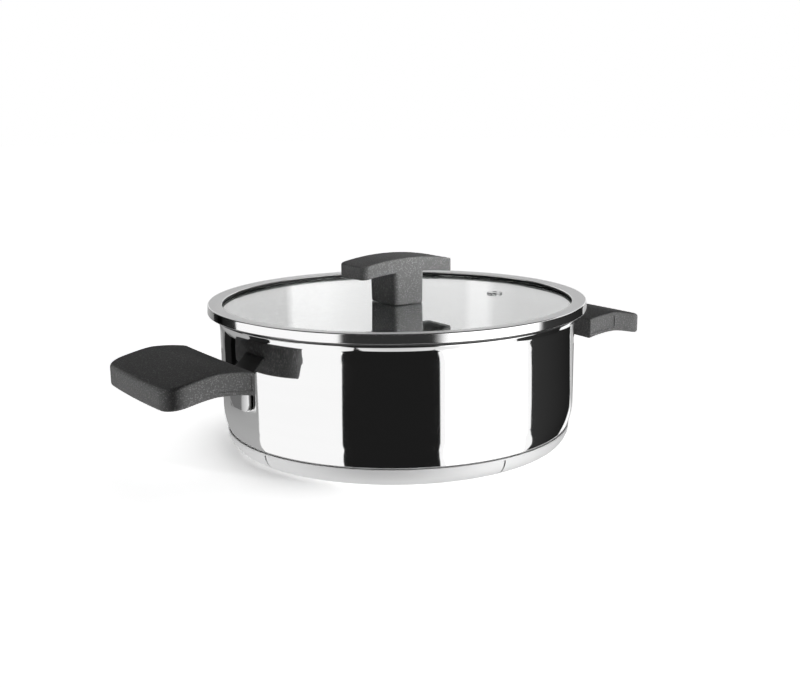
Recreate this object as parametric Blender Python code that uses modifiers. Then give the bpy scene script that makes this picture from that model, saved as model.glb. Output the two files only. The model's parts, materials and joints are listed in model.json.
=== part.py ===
"""A stainless steel casserole pan with a flat glass lid, as separate pieces in metres.

The origin is the middle of the base's underside and +Z is up. The two grips lie on the X axis.
The lid is a group of its own under an empty on the pan's axis, along which it lifts off.
"""
import math

import bmesh
import bpy
from mathutils import Vector

# Driving dimensions of the pan, in metres
POT_RADIUS = 0.1205
POT_HEIGHT = 0.0905
SHEET = 0.0008
FLARE_RADIUS = 0.0050
LIP_OVERHANG = 0.0058
LIP_BEAD_RADIUS = 0.0013
HEEL_HEIGHT = 0.0300
SEAM_HEIGHT = 0.0131
SEAM_INSET = 0.0034
FLOOR_HEIGHT = 0.0072

# Driving dimensions of the sandwich base
CAP_SHEET = 0.0008
CAP_FOOT_INSET = 0.0121
CORE_INSET = 0.0010
SLIT_ANGLES = (10.0, 89.4, 190.0, 269.4)
SLIT_WIDTH = 0.0012
SLIT_FROM = 0.0034
SLIT_BELOW_RIM = 0.0010
GROOVE_RADII = (0.040, 0.074)
GROOVE_WIDTH = 0.0016
GROOVE_DEPTH = 0.0004

# Driving dimensions of the side handles
GRIP_STAND_OFF = 0.0145
GRIP_BELOW_RIM = 0.0165
GRIP_WIDTH = 0.0972
GRIP_REACH = 0.0578
GRIP_THICKNESS = 0.0141
GRIP_CREST_AT = 0.0250
GRIP_CREST = 0.0027
GRIP_DROP = 0.0031
GRIP_CORNER = 0.0100
GRIP_END_BOW = 0.0018
GRIP_ROOT_HOLLOW = 0.0011
GRIP_EDGE = 0.0012
PANEL_DEPTH = 0.00035
PANEL_MARGIN = 0.0026
PANEL_LENGTH = 0.0225
STRAP_WIDTH = 0.0260
STRAP_SHEET = 0.0018
STRAP_DROP = 0.0316
STRAP_CORNER = 0.0058
STRAP_BEND = 0.0040
STRAP_RISE = 0.0065
TANG_LENGTH = 0.0230
TANG_DEPTH = 0.0037
HANDLE_SCREW_AT = 0.0135
HANDLE_SCREW_SHANK = 0.0020
HANDLE_SCREW_TIP = 0.0008
HANDLE_BORE_DEPTH = 0.0012
HANDLE_SCREW_HEAD = 0.0040
HANDLE_SCREW_HEAD_HEIGHT = 0.0024
HANDLE_SCREW_FACE = 0.0028
HANDLE_SCREW_DOME = 0.0008
HANDLE_SEAT_WALL = 0.0016
HANDLE_WASHER_RADIUS = 0.0046
HANDLE_WASHER_HEIGHT = 0.0010

# Driving dimensions of the lid
RING_OVERHANG = 0.0021
RING_WIDTH = 0.0100
RING_SHEET = 0.0007
RING_COVER = 0.0032
RING_FALL = 0.0006
RING_EDGE = 0.0012
RING_DROP_GAP = 0.0023
RING_BEND = 0.0009
RING_CURL = 0.0008
SKIRT_DEPTH = 0.0070
SKIRT_CLEARANCE = 0.0010
GLASS_INSET = 0.0052
GLASS_THICKNESS = 0.0035
GLASS_EDGE = 0.0006
GLASS_HOLE_RADIUS = 0.0040
GASKET_LIP = 0.0005
VENT_INSET = 0.0485
VENT_ANGLE = -12.4
VENT_FLANGE_RADIUS = 0.0055
VENT_TUBE_RADIUS = 0.0036
VENT_BORE_RADIUS = 0.0017
VENT_SHEET = 0.0008

# Driving dimensions of the knob
KNOB_LENGTH = 0.0737
KNOB_DEPTH = 0.0310
KNOB_HEIGHT = 0.0316
KNOB_ARCH = 0.0040
KNOB_END_HEIGHT = 0.0088
KNOB_UNDER_ARCH = 0.0028
KNOB_STEM_WIDTH = 0.0235
KNOB_CORNER = 0.0050
KNOB_FILLET = 0.0018
KNOB_EDGE = 0.0009
KNOB_SCREW_SHANK = 0.0025
KNOB_SCREW_HEAD = 0.0047
KNOB_SCREW_HEAD_HEIGHT = 0.0030
KNOB_SCREW_FACE = 0.0034
KNOB_SCREW_DOME = 0.0020
KNOB_SCREW_GRIP = 0.0120
KNOB_INSERT_RADIUS = 0.0045
KNOB_INSERT_LENGTH = 0.0130
KNOB_PAD_RADIUS = 0.0078
KNOB_PAD_HEIGHT = 0.0010
KNOB_SEAL_RADIUS = 0.0085
KNOB_SEAL_HEIGHT = 0.0012
KNOB_WASHER_RADIUS = 0.0075
KNOB_WASHER_HEIGHT = 0.0010

# Clearances between neighbours, and how far a cutter reaches past what it cuts
GAP = 0.0003
BORE_CLEARANCE = 0.0003
CUT_PAST = 0.0100

# Shape factors: where a bent edge starts and ends in degrees, the shares of the grip's fall
# that go with each power of the distance past its crest, and a driver recess in head radii
FLARE_FROM = 106.0
BEAD_TO = -175.0
EDGE_ANGLE = 32.0
FALL_SHARES = (0.45, 1.45, -0.90)
CROSS_SHARES = (1.1, 0.26, 0.6)

# Fineness of round shapes
BODY_STEPS = 52
SMALL_STEPS = 18
CURVE_STEPS = 4
GRIP_STEPS = 14
STRAP_COLUMNS = 8

# Radii, places and heights that follow from the dimensions above
LIP_RADIUS = POT_RADIUS + LIP_OVERHANG
CAP_FOOT_RADIUS = POT_RADIUS - SEAM_INSET - CAP_FOOT_INSET
RING_RADIUS = LIP_RADIUS + RING_OVERHANG
RING_INNER_RADIUS = RING_RADIUS - RING_WIDTH
GLASS_RADIUS = RING_RADIUS - GLASS_INSET
VENT_AT = GLASS_RADIUS - VENT_INSET
GRIP_ROOT = POT_RADIUS + GRIP_STAND_OFF
GRIP_TOP = POT_HEIGHT - GRIP_BELOW_RIM
TANG_HEIGHT = GRIP_TOP - TANG_DEPTH
TANG_TOP = TANG_HEIGHT + STRAP_SHEET / 2 + GAP
TANG_BOTTOM = TANG_HEIGHT - STRAP_SHEET / 2 - GAP
HANDLE_SEAT = TANG_BOTTOM - HANDLE_SEAT_WALL
RING_SEAT = POT_HEIGHT + GAP
RING_BOTTOM = POT_HEIGHT + RING_DROP_GAP
GLASS_BOTTOM = RING_SEAT + RING_SHEET + GAP
GLASS_TOP = GLASS_BOTTOM + GLASS_THICKNESS
RING_TOP = GLASS_TOP + RING_COVER
KNOB_FOOT = GLASS_TOP + GAP


def clear_scene():
    """Remove every object, so that the script gives the same result each time."""
    for thing in list(bpy.data.objects):
        bpy.data.objects.remove(thing, do_unlink=True)


def new_collection(name):
    collection = bpy.data.collections.new(name)
    bpy.context.scene.collection.children.link(collection)
    return collection


def make_material(name, colour, roughness, metallic, transmission=0.0):
    """A plain Principled material in a linear grey or colour."""
    material = bpy.data.materials.new(name)
    material.use_nodes = True
    shader = material.node_tree.nodes["Principled BSDF"]
    shader.inputs["Base Color"].default_value = (*colour, 1.0)
    shader.inputs["Roughness"].default_value = roughness
    shader.inputs["Metallic"].default_value = metallic
    shader.inputs["Transmission Weight"].default_value = transmission
    material.diffuse_color = (*colour, 1.0)
    return material


class Workshop:
    """The two collections that everything goes into, and the parent of what is made next."""

    def __init__(self, parts, cutters):
        self.parts = parts
        self.cutters = cutters
        self.parent = None

    def add(self, name, mesh, material):
        """Put a finished mesh into the parts collection under the current parent."""
        thing = bpy.data.objects.new(name, mesh)
        self.parts.objects.link(thing)
        thing.parent = self.parent
        mesh.materials.append(material)
        return thing

    def add_cutter(self, name, mesh):
        """Put a mesh that only cuts other pieces into the cutters collection."""
        thing = bpy.data.objects.new(name, mesh)
        self.cutters.objects.link(thing)
        thing.parent = self.parent
        thing.hide_render = True
        thing.display_type = "WIRE"
        return thing


def oval_arc(centre, radii, start, end, steps):
    """Points of an arc with unlike radii along X and along Y or Z, between two angles in degrees."""
    points = []
    for index in range(steps + 1):
        angle = math.radians(start + (end - start) * index / steps)
        across = centre[0] + radii[0] * math.cos(angle)
        points.append((across, centre[1] + radii[1] * math.sin(angle)))
    return points


def arc(centre, radius, start, end, steps):
    """Points of a circular arc between two angles in degrees."""
    return oval_arc(centre, (radius, radius), start, end, steps)


def filleted(corners, radii, steps):
    """A path of straight runs whose inner corners are rounded to the given radii."""
    path = [Vector(corners[0])]
    for index, radius in enumerate(radii, start=1):
        corner = Vector(corners[index])
        back = (Vector(corners[index - 1]) - corner).normalized()
        ahead = (Vector(corners[index + 1]) - corner).normalized()
        half_angle = back.angle(ahead) / 2
        middle = corner + (back + ahead).normalized() * radius / math.sin(half_angle)
        first = corner + back * radius / math.tan(half_angle)
        turn = math.pi - 2 * half_angle
        side = math.copysign(1.0, back.x * ahead.y - back.y * ahead.x)
        for step in range(steps + 1):
            angle = -side * turn * step / steps
            offset = first - middle
            turned_x = offset.x * math.cos(angle) - offset.y * math.sin(angle)
            turned_y = offset.x * math.sin(angle) + offset.y * math.cos(angle)
            path.append(middle + Vector((turned_x, turned_y)))
    path.append(Vector(corners[-1]))
    return path


def profile_mesh(name, profile, closed):
    """A chain of edges in the XZ plane, for the Screw modifier to turn."""
    count = len(profile)
    edges = [(index, index + 1) for index in range(count - 1)]
    if closed:
        edges.append((count - 1, 0))
    mesh = bpy.data.meshes.new(name)
    mesh.from_pydata([(x, 0.0, z) for x, z in profile], edges, [])
    return mesh


def add_screw(thing, steps):
    """Turn the profile once round Z."""
    screw = thing.modifiers.new("Turn", "SCREW")
    screw.angle = math.tau
    screw.steps = steps
    screw.render_steps = steps
    screw.use_merge_vertices = True
    screw.merge_threshold = 0.00001
    screw.use_smooth_shade = True


def turned(shop, name, profile, material, steps=BODY_STEPS, closed=False):
    """A turned piece, whose profile runs down its outer side, from the axis to the axis or closed."""
    thing = shop.add(name, profile_mesh(name, profile, closed), material)
    add_screw(thing, steps)
    return thing


def turned_cutter(shop, name, profile, steps):
    thing = shop.add_cutter(name, profile_mesh(name, profile, False))
    add_screw(thing, steps)
    return thing


def rod_profile(radius, bottom, top):
    """The profile of a plain solid cylinder."""
    return [(0.0, top), (radius, top), (radius, bottom), (0.0, bottom)]


def tube_profile(outer, inner, bottom, top):
    """The profile of a plain tube, washer or ring."""
    return [(inner, top), (outer, top), (outer, bottom), (inner, bottom)]


def plate_mesh(name, outline, half_depth):
    """A flat outline filled and thickened both ways, as one welded mesh along local Z."""
    curve = bpy.data.curves.new(name, "CURVE")
    curve.dimensions = "2D"
    curve.fill_mode = "BOTH"
    curve.extrude = half_depth
    spline = curve.splines.new("POLY")
    spline.points.add(len(outline) - 1)
    for point, (x, y) in zip(spline.points, outline):
        point.co = (x, y, 0.0, 1.0)
    spline.use_cyclic_u = True
    holder = bpy.data.objects.new(name, curve)
    bpy.context.scene.collection.objects.link(holder)
    ready = holder.evaluated_get(bpy.context.evaluated_depsgraph_get())
    mesh = bpy.data.meshes.new_from_object(ready)
    mesh.name = name
    bpy.data.objects.remove(holder, do_unlink=True)
    bpy.data.curves.remove(curve)
    work = bmesh.new()
    work.from_mesh(mesh)
    bmesh.ops.remove_doubles(work, verts=work.verts, dist=0.000001)
    bmesh.ops.recalc_face_normals(work, faces=work.faces)
    work.to_mesh(mesh)
    work.free()
    return mesh


def stand_up(mesh):
    """Turn a plate from the XY plane into the XZ plane, so that its outline's Y becomes Z."""
    for vertex in mesh.vertices:
        x, y, z = vertex.co
        vertex.co = (x, -z, y)
    return mesh


def shifted(mesh, offset):
    """Move a mesh's points by an offset, keeping its object's origin in place."""
    for vertex in mesh.vertices:
        vertex.co += Vector(offset)
    return mesh


def combine(thing, cutter, operation="DIFFERENCE"):
    step = thing.modifiers.new(cutter.name, "BOOLEAN")
    step.operation = operation
    step.object = cutter
    step.solver = "EXACT"


def add_bevel(thing, width):
    bevel = thing.modifiers.new("Edges", "BEVEL")
    bevel.width = width
    bevel.segments = 2
    bevel.limit_method = "ANGLE"
    bevel.angle_limit = math.radians(EDGE_ANGLE)
    bevel.use_clamp_overlap = True
    bevel.harden_normals = False


def heel_curve(sheet_inset):
    """The wall's long lower curve and the tighter corner into the floor, top to bottom."""
    height = HEEL_HEIGHT - SEAM_HEIGHT
    big = (height ** 2 + SEAM_INSET ** 2) / (2 * SEAM_INSET)
    tilt = math.degrees(math.asin(height / big))
    small = (SEAM_HEIGHT - FLOOR_HEIGHT) / (1 - math.sin(math.radians(tilt)))
    corner_x = POT_RADIUS - SEAM_INSET - small * math.cos(math.radians(tilt))
    corner = (corner_x, FLOOR_HEIGHT + small)
    upper = arc((POT_RADIUS - big, HEEL_HEIGHT), big - sheet_inset, 0.0, -tilt, CURVE_STEPS)
    lower = arc(corner, small - sheet_inset, -tilt, -90.0, CURVE_STEPS)
    return upper + lower[1:]


def build_pot_body(shop, steel):
    """The drawn steel pan with its flared pouring lip and rolled edge."""
    inner_wall = POT_RADIUS - SHEET
    flare = (inner_wall + FLARE_RADIUS, POT_HEIGHT - FLARE_RADIUS)
    bead = (LIP_RADIUS - LIP_BEAD_RADIUS, POT_HEIGHT - LIP_BEAD_RADIUS)
    profile = [(0.0, FLOOR_HEIGHT + SHEET)]
    profile += reversed(heel_curve(SHEET))
    profile += arc(flare, FLARE_RADIUS, 180.0, 90.0, 3)
    profile += arc(bead, LIP_BEAD_RADIUS, 90.0, BEAD_TO, 6)
    profile += arc(flare, FLARE_RADIUS - SHEET, FLARE_FROM, 180.0, 3)
    profile += heel_curve(0.0)
    profile += [(0.0, FLOOR_HEIGHT)]
    turned(shop, "pot_body", profile, steel)


def slit_mesh():
    """A thin upright block that cuts one slit through the side of the base cap."""
    reach = POT_RADIUS - CAP_FOOT_RADIUS
    top = SEAM_HEIGHT - SLIT_BELOW_RIM
    mesh = bpy.data.meshes.new("slit")
    work = bmesh.new()
    bmesh.ops.create_cube(work, size=1.0)
    bmesh.ops.scale(work, vec=(reach, SLIT_WIDTH, top - SLIT_FROM), verts=work.verts)
    place = (CAP_FOOT_RADIUS + reach / 2, 0.0, (top + SLIT_FROM) / 2)
    bmesh.ops.translate(work, vec=place, verts=work.verts)
    work.to_mesh(mesh)
    work.free()
    return mesh


def build_base_cap(shop, steel):
    """The pressed steel cap under the pan, with its round side, slits and ringed underside."""
    rim = POT_RADIUS - SEAM_INSET + GAP + CAP_SHEET
    middle = (CAP_FOOT_RADIUS, SEAM_HEIGHT)
    radii = (rim - CAP_FOOT_RADIUS, SEAM_HEIGHT)
    inner_radii = (radii[0] - CAP_SHEET, radii[1] - CAP_SHEET)
    profile = [(0.0, CAP_SHEET)]
    profile += oval_arc(middle, inner_radii, -90.0, 0.0, CURVE_STEPS)
    profile += oval_arc(middle, radii, 0.0, -90.0, CURVE_STEPS)
    for radius in reversed(GROOVE_RADII):
        profile += [(radius + GROOVE_WIDTH / 2, 0.0), (radius, GROOVE_DEPTH)]
        profile += [(radius - GROOVE_WIDTH / 2, 0.0)]
    profile += [(0.0, 0.0)]
    cap = turned(shop, "base_cap", profile, steel)
    for angle in SLIT_ANGLES:
        cutter = shop.add_cutter("slit_%d" % angle, slit_mesh())
        cutter.rotation_euler.z = math.radians(angle)
        combine(cap, cutter)


def build_base_core(shop, aluminium):
    """The aluminium disc inside the cap that spreads the heat."""
    radius = CAP_FOOT_RADIUS - CORE_INSET
    profile = rod_profile(radius, CAP_SHEET + GAP, FLOOR_HEIGHT - GAP)
    turned(shop, "base_core", profile, aluminium)


def grip_rise(reach):
    """How far the grip's middle plane stands above its root, at a distance from the root."""
    if reach < GRIP_CREST_AT:
        share = reach / GRIP_CREST_AT
        return GRIP_CREST * share * (2.0 - share)
    share = min((reach - GRIP_CREST_AT) / (GRIP_REACH - GRIP_CREST_AT), 1.0)
    fallen = sum(part * share ** power for power, part in enumerate(FALL_SHARES, start=1))
    return GRIP_CREST - (GRIP_CREST + GRIP_DROP) * fallen


def grip_section(start, end, inset, steps):
    """The grip's outline seen from its side, between two distances from its root."""
    top = []
    bottom = []
    for index in range(steps + 1):
        reach = start + (end - start) * index / steps
        height = GRIP_TOP + grip_rise(max(reach, 0.0))
        top.append((GRIP_ROOT + reach, height - inset))
        bottom.append((GRIP_ROOT + reach, height - GRIP_THICKNESS + inset))
    return top + list(reversed(bottom))


def grip_plan():
    """The grip's outline seen from above: hollow root, straight sides and bowed, cornered end."""
    half = GRIP_WIDTH / 2
    end = GRIP_ROOT + GRIP_REACH
    bow = (half ** 2 + GRIP_END_BOW ** 2) / (2 * GRIP_END_BOW)
    swing = math.asin((half - GRIP_CORNER) / (bow - GRIP_CORNER))
    corner_x = end - bow + (bow - GRIP_CORNER) * math.cos(swing)
    lean = math.degrees(swing)
    plan = arc((corner_x, half - GRIP_CORNER), GRIP_CORNER, lean, 90.0, 5)
    hollow = (half ** 2 + GRIP_ROOT_HOLLOW ** 2) / (2 * GRIP_ROOT_HOLLOW)
    spread = math.degrees(math.asin(half / hollow))
    middle = (GRIP_ROOT + GRIP_ROOT_HOLLOW - hollow, 0.0)
    plan += arc(middle, hollow, spread, -spread, CURVE_STEPS)
    plan += arc((corner_x, GRIP_CORNER - half), GRIP_CORNER, -90.0, -lean, 5)
    plan += arc((end - bow, 0.0), bow, -lean, lean, CURVE_STEPS)[1:-1]
    return plan


def build_grip(shop, side, plastic):
    """The moulded grip: a slab with a swept side outline, trimmed to its plan and edged."""
    outline = grip_section(-GRIP_ROOT_HOLLOW, GRIP_REACH + GAP, 0.0, GRIP_STEPS)
    slab = stand_up(plate_mesh("grip", outline, GRIP_WIDTH))
    grip = shop.add("grip_" + side, slab, plastic)
    trim = shop.add_cutter("plan_" + side, plate_mesh("plan", grip_plan(), GRIP_TOP + CUT_PAST))
    combine(grip, trim, "INTERSECT")
    add_bevel(grip, GRIP_EDGE)
    panel_end = PANEL_MARGIN + PANEL_LENGTH
    panel_outline = grip_section(PANEL_MARGIN, panel_end, PANEL_MARGIN, 6)
    for sign in (1.0, -1.0):
        panel = stand_up(plate_mesh("panel", panel_outline, PANEL_DEPTH * 2))
        shifted(panel, (0.0, sign * (GRIP_WIDTH / 2 + PANEL_DEPTH), 0.0))
        combine(grip, shop.add_cutter("panel_%s_%d" % (side, sign), panel))
    slot_start = GRIP_ROOT - CUT_PAST
    slot_end = GRIP_ROOT + TANG_LENGTH + GAP
    slot_outline = [(slot_start, TANG_BOTTOM), (slot_end, TANG_BOTTOM)]
    slot_outline += [(slot_end, TANG_TOP), (slot_start, TANG_TOP)]
    slot = stand_up(plate_mesh("slot", slot_outline, STRAP_WIDTH / 2 + GAP))
    combine(grip, shop.add_cutter("slot_" + side, slot))
    shank = HANDLE_SCREW_SHANK + BORE_CLEARANCE
    well_radius = HANDLE_WASHER_RADIUS + BORE_CLEARANCE
    well_bottom = GRIP_TOP - GRIP_THICKNESS - CUT_PAST
    bore = [(0.0, TANG_TOP + HANDLE_BORE_DEPTH), (shank, TANG_TOP + HANDLE_BORE_DEPTH)]
    bore += [(shank, HANDLE_SEAT), (well_radius, HANDLE_SEAT)]
    bore += [(well_radius, well_bottom), (0.0, well_bottom)]
    well = turned_cutter(shop, "well_" + side, bore, SMALL_STEPS)
    well.location.x = GRIP_ROOT + HANDLE_SCREW_AT
    combine(grip, well)


def strap_mesh():
    """The strap's middle sheet: a flat leg that touches the wall along its middle, arm and tang."""
    inner = POT_RADIUS + GAP + STRAP_SHEET / 2
    foot = TANG_HEIGHT - STRAP_DROP
    arm_end = GRIP_ROOT - STRAP_SHEET
    corners = [(inner, foot), (inner, TANG_HEIGHT - STRAP_RISE), (arm_end, TANG_HEIGHT)]
    corners += [(GRIP_ROOT + TANG_LENGTH, TANG_HEIGHT)]
    path = filleted(corners, (STRAP_BEND, STRAP_BEND), CURVE_STEPS)
    half = STRAP_WIDTH / 2
    rows = []
    for narrow, drop in arc((0.0, STRAP_CORNER), STRAP_CORNER, -90.0, 0.0, CURVE_STEPS):
        rows.append((inner, foot + drop, half - STRAP_CORNER + narrow))
    rows += [(point.x, point.y, half) for point in path[1:]]
    mesh = bpy.data.meshes.new("bracket")
    work = bmesh.new()
    grid = []
    for x, z, half_width in rows:
        line = []
        for column in range(STRAP_COLUMNS + 1):
            y = half_width * (2.0 * column / STRAP_COLUMNS - 1.0)
            line.append(work.verts.new((x, y, z)))
        grid.append(line)
    for lower, upper in zip(grid, grid[1:]):
        for column in range(STRAP_COLUMNS):
            after = column + 1
            work.faces.new((lower[column], lower[after], upper[after], upper[column]))
    bmesh.ops.recalc_face_normals(work, faces=work.faces)
    work.to_mesh(mesh)
    work.free()
    return mesh


def build_bracket(shop, side, steel):
    """The formed strap: a leg welded against the wall, a rising arm and a tang in the grip."""
    bracket = shop.add("bracket_" + side, strap_mesh(), steel)
    shell = bracket.modifiers.new("Sheet", "SOLIDIFY")
    shell.thickness = STRAP_SHEET
    shell.offset = 0.0
    shell.use_even_offset = True
    span = (TANG_HEIGHT - CUT_PAST, TANG_HEIGHT + CUT_PAST)
    hole = rod_profile(HANDLE_SCREW_SHANK + BORE_CLEARANCE, *span)
    drill = turned_cutter(shop, "drill_" + side, hole, SMALL_STEPS)
    drill.location.x = GRIP_ROOT + HANDLE_SCREW_AT
    combine(bracket, drill)


def screw_profile(shank, tip, head, head_top, head_height, face, dome):
    """The profile of a screw that points up, with a domed head below."""
    bottom = head_top - head_height
    profile = [(0.0, tip), (shank, tip), (shank, head_top), (head, head_top)]
    return profile + [(head, bottom + dome), (face, bottom), (0.0, bottom)]


def build_handle_screw(shop, side, steel):
    """The screw that clamps the grip to the tang from below, and its spring washer."""
    seat = HANDLE_SEAT - GAP
    bore = HANDLE_SCREW_SHANK + BORE_CLEARANCE
    washer = tube_profile(HANDLE_WASHER_RADIUS, bore, seat - HANDLE_WASHER_HEIGHT, seat)
    ring = turned(shop, "grip_washer_" + side, washer, steel, SMALL_STEPS, closed=True)
    ring.location.x = GRIP_ROOT + HANDLE_SCREW_AT
    head_top = seat - HANDLE_WASHER_HEIGHT - GAP
    tip = TANG_TOP + HANDLE_SCREW_TIP
    profile = screw_profile(HANDLE_SCREW_SHANK, tip, HANDLE_SCREW_HEAD, head_top,
                            HANDLE_SCREW_HEAD_HEIGHT, HANDLE_SCREW_FACE, HANDLE_SCREW_DOME)
    screw = turned(shop, "grip_screw_" + side, profile, steel, SMALL_STEPS)
    screw.location.x = GRIP_ROOT + HANDLE_SCREW_AT
    cut_cross(shop, screw, HANDLE_SCREW_HEAD, head_top - HANDLE_SCREW_HEAD_HEIGHT)


def cut_cross(shop, screw, head_radius, face_height):
    """Cut a cross recess for a driver into the underside of a screw's head."""
    for turn in (0.0, 90.0):
        mesh = bpy.data.meshes.new("cross")
        work = bmesh.new()
        bmesh.ops.create_cube(work, size=head_radius)
        bmesh.ops.scale(work, vec=CROSS_SHARES, verts=work.verts)
        work.to_mesh(mesh)
        work.free()
        cutter = shop.add_cutter("cross_%s_%d" % (screw.name, turn), mesh)
        cutter.location = (screw.location.x, screw.location.y, face_height)
        cutter.rotation_euler.z = math.radians(turn)
        combine(screw, cutter)


def build_ring(shop, steel):
    """The lid's folded steel ring: top flange, rounded side, seat on the lip and inner skirt."""
    outer_arc = (RING_RADIUS - RING_EDGE, RING_TOP - RING_EDGE)
    skirt = POT_RADIUS - SHEET - SKIRT_CLEARANCE
    skirt_bottom = POT_HEIGHT - SKIRT_DEPTH
    fold = (skirt + RING_BEND, RING_SEAT - RING_BEND)
    seat_edge = LIP_RADIUS - LIP_BEAD_RADIUS
    inner_radius = RING_RADIUS - RING_SHEET
    profile = [(RING_INNER_RADIUS, RING_TOP - RING_FALL)]
    profile += arc(outer_arc, RING_EDGE, 90.0, 0.0, 3)
    profile += arc((RING_RADIUS - RING_CURL, RING_BOTTOM + RING_CURL), RING_CURL, 0.0, -90.0, 2)
    profile += [(RING_RADIUS - 2 * RING_CURL, RING_BOTTOM), (seat_edge, RING_SEAT)]
    profile += arc(fold, RING_BEND, 90.0, 180.0, 2)
    profile += [(skirt, skirt_bottom), (skirt - RING_SHEET, skirt_bottom)]
    profile += arc(fold, RING_BEND + RING_SHEET, 180.0, 90.0, 2)
    profile += [(seat_edge - RING_SHEET / 3, RING_SEAT + RING_SHEET)]
    profile += [(inner_radius, RING_BOTTOM + RING_CURL + RING_SHEET / 2)]
    profile += [(inner_radius, RING_TOP - RING_EDGE)]
    profile += [(outer_arc[0], RING_TOP - RING_SHEET)]
    profile += [(RING_INNER_RADIUS, RING_TOP - RING_FALL - RING_SHEET)]
    turned(shop, "lid_ring", profile, steel, closed=True)


def build_gasket(shop, rubber):
    """The soft seal that fills the ring's fold round the glass's edge."""
    outer = RING_RADIUS - RING_SHEET - GAP
    inner = GLASS_RADIUS + GAP
    lip_top = RING_TOP - RING_FALL - RING_SHEET - GAP
    lip_bottom = GLASS_TOP + GAP
    profile = [(RING_INNER_RADIUS + GAP, lip_top), (outer, lip_top)]
    profile += [(outer, RING_BOTTOM + 2 * RING_SHEET + GAP)]
    profile += [(inner + GASKET_LIP, GLASS_BOTTOM), (inner, GLASS_BOTTOM)]
    profile += [(inner, lip_bottom), (RING_INNER_RADIUS + GAP, lip_bottom)]
    turned(shop, "ring_gasket", profile, rubber, closed=True)


def build_glass(shop, glass):
    """The flat toughened pane, with a hole for the knob's screw and one for the vent."""
    profile = [(0.0, GLASS_TOP), (GLASS_RADIUS - GLASS_EDGE, GLASS_TOP)]
    profile += [(GLASS_RADIUS, GLASS_TOP - GLASS_EDGE), (GLASS_RADIUS, GLASS_BOTTOM + GLASS_EDGE)]
    profile += [(GLASS_RADIUS - GLASS_EDGE, GLASS_BOTTOM), (0.0, GLASS_BOTTOM)]
    pane = turned(shop, "lid_glass", profile, glass)
    span = (GLASS_BOTTOM - CUT_PAST, GLASS_TOP + CUT_PAST)
    middle = turned_cutter(shop, "knob_hole", rod_profile(GLASS_HOLE_RADIUS, *span), SMALL_STEPS)
    combine(pane, middle)
    hole = rod_profile(VENT_TUBE_RADIUS + BORE_CLEARANCE, *span)
    vent = turned_cutter(shop, "vent_hole", hole, SMALL_STEPS)
    vent.location = vent_place()
    combine(pane, vent)


def vent_place():
    angle = math.radians(VENT_ANGLE)
    return Vector((VENT_AT * math.cos(angle), VENT_AT * math.sin(angle), 0.0))


def build_vent(shop, steel):
    """The riveted steam eyelet: a short tube with a flange on each side of the glass."""
    upper = GLASS_TOP + GAP
    lower = GLASS_BOTTOM - GAP
    rim = VENT_FLANGE_RADIUS
    top = upper + VENT_SHEET
    bottom = lower - VENT_SHEET
    profile = [(VENT_BORE_RADIUS, top - VENT_SHEET / 2), (VENT_BORE_RADIUS + VENT_SHEET / 2, top)]
    profile += [(rim - VENT_SHEET / 2, top), (rim, top - VENT_SHEET / 2), (rim, upper)]
    profile += [(VENT_TUBE_RADIUS, upper), (VENT_TUBE_RADIUS, lower)]
    profile += [(rim, lower), (rim - VENT_SHEET / 2, bottom), (VENT_BORE_RADIUS, bottom)]
    eyelet = turned(shop, "vent_eyelet", profile, steel, SMALL_STEPS, closed=True)
    eyelet.location = vent_place()


def knob_outline():
    """The knob seen from its long side: arched bar, arched underside and straight stem."""
    half = KNOB_LENGTH / 2
    stem = KNOB_STEM_WIDTH / 2
    top = KNOB_FOOT + KNOB_HEIGHT
    end_top = top - KNOB_ARCH
    end_bottom = end_top - KNOB_END_HEIGHT
    big = (half ** 2 + KNOB_ARCH ** 2) / (2 * KNOB_ARCH)
    spread = math.degrees(math.asin(half / big))
    under = ((half ** 2 - stem ** 2) + KNOB_UNDER_ARCH ** 2) / (2 * KNOB_UNDER_ARCH)
    outline = arc((0.0, top - big), big, 90.0 + spread, 90.0 - spread, 10)
    right = []
    for index in range(4):
        share = index / 3.0
        x = half + (stem + KNOB_FILLET - half) * share
        fall = (x ** 2 - stem ** 2) / (2 * under)
        right.append((x, end_bottom + KNOB_UNDER_ARCH - fall))
    corner = (stem + KNOB_FILLET, right[-1][1] - KNOB_FILLET)
    right += arc(corner, KNOB_FILLET, 90.0, 180.0, 3)[1:]
    right.append((stem, KNOB_FOOT))
    left = [(-x, z) for x, z in reversed(right)]
    return outline + right + left


def knob_plan():
    """The knob's rounded rectangle seen from above."""
    half = KNOB_LENGTH / 2 - KNOB_CORNER
    deep = KNOB_DEPTH / 2 - KNOB_CORNER
    plan = arc((half, deep), KNOB_CORNER, 0.0, 90.0, 4)
    plan += arc((-half, deep), KNOB_CORNER, 90.0, 180.0, 4)
    plan += arc((-half, -deep), KNOB_CORNER, 180.0, 270.0, 4)
    plan += arc((half, -deep), KNOB_CORNER, 270.0, 360.0, 4)
    return plan


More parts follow.
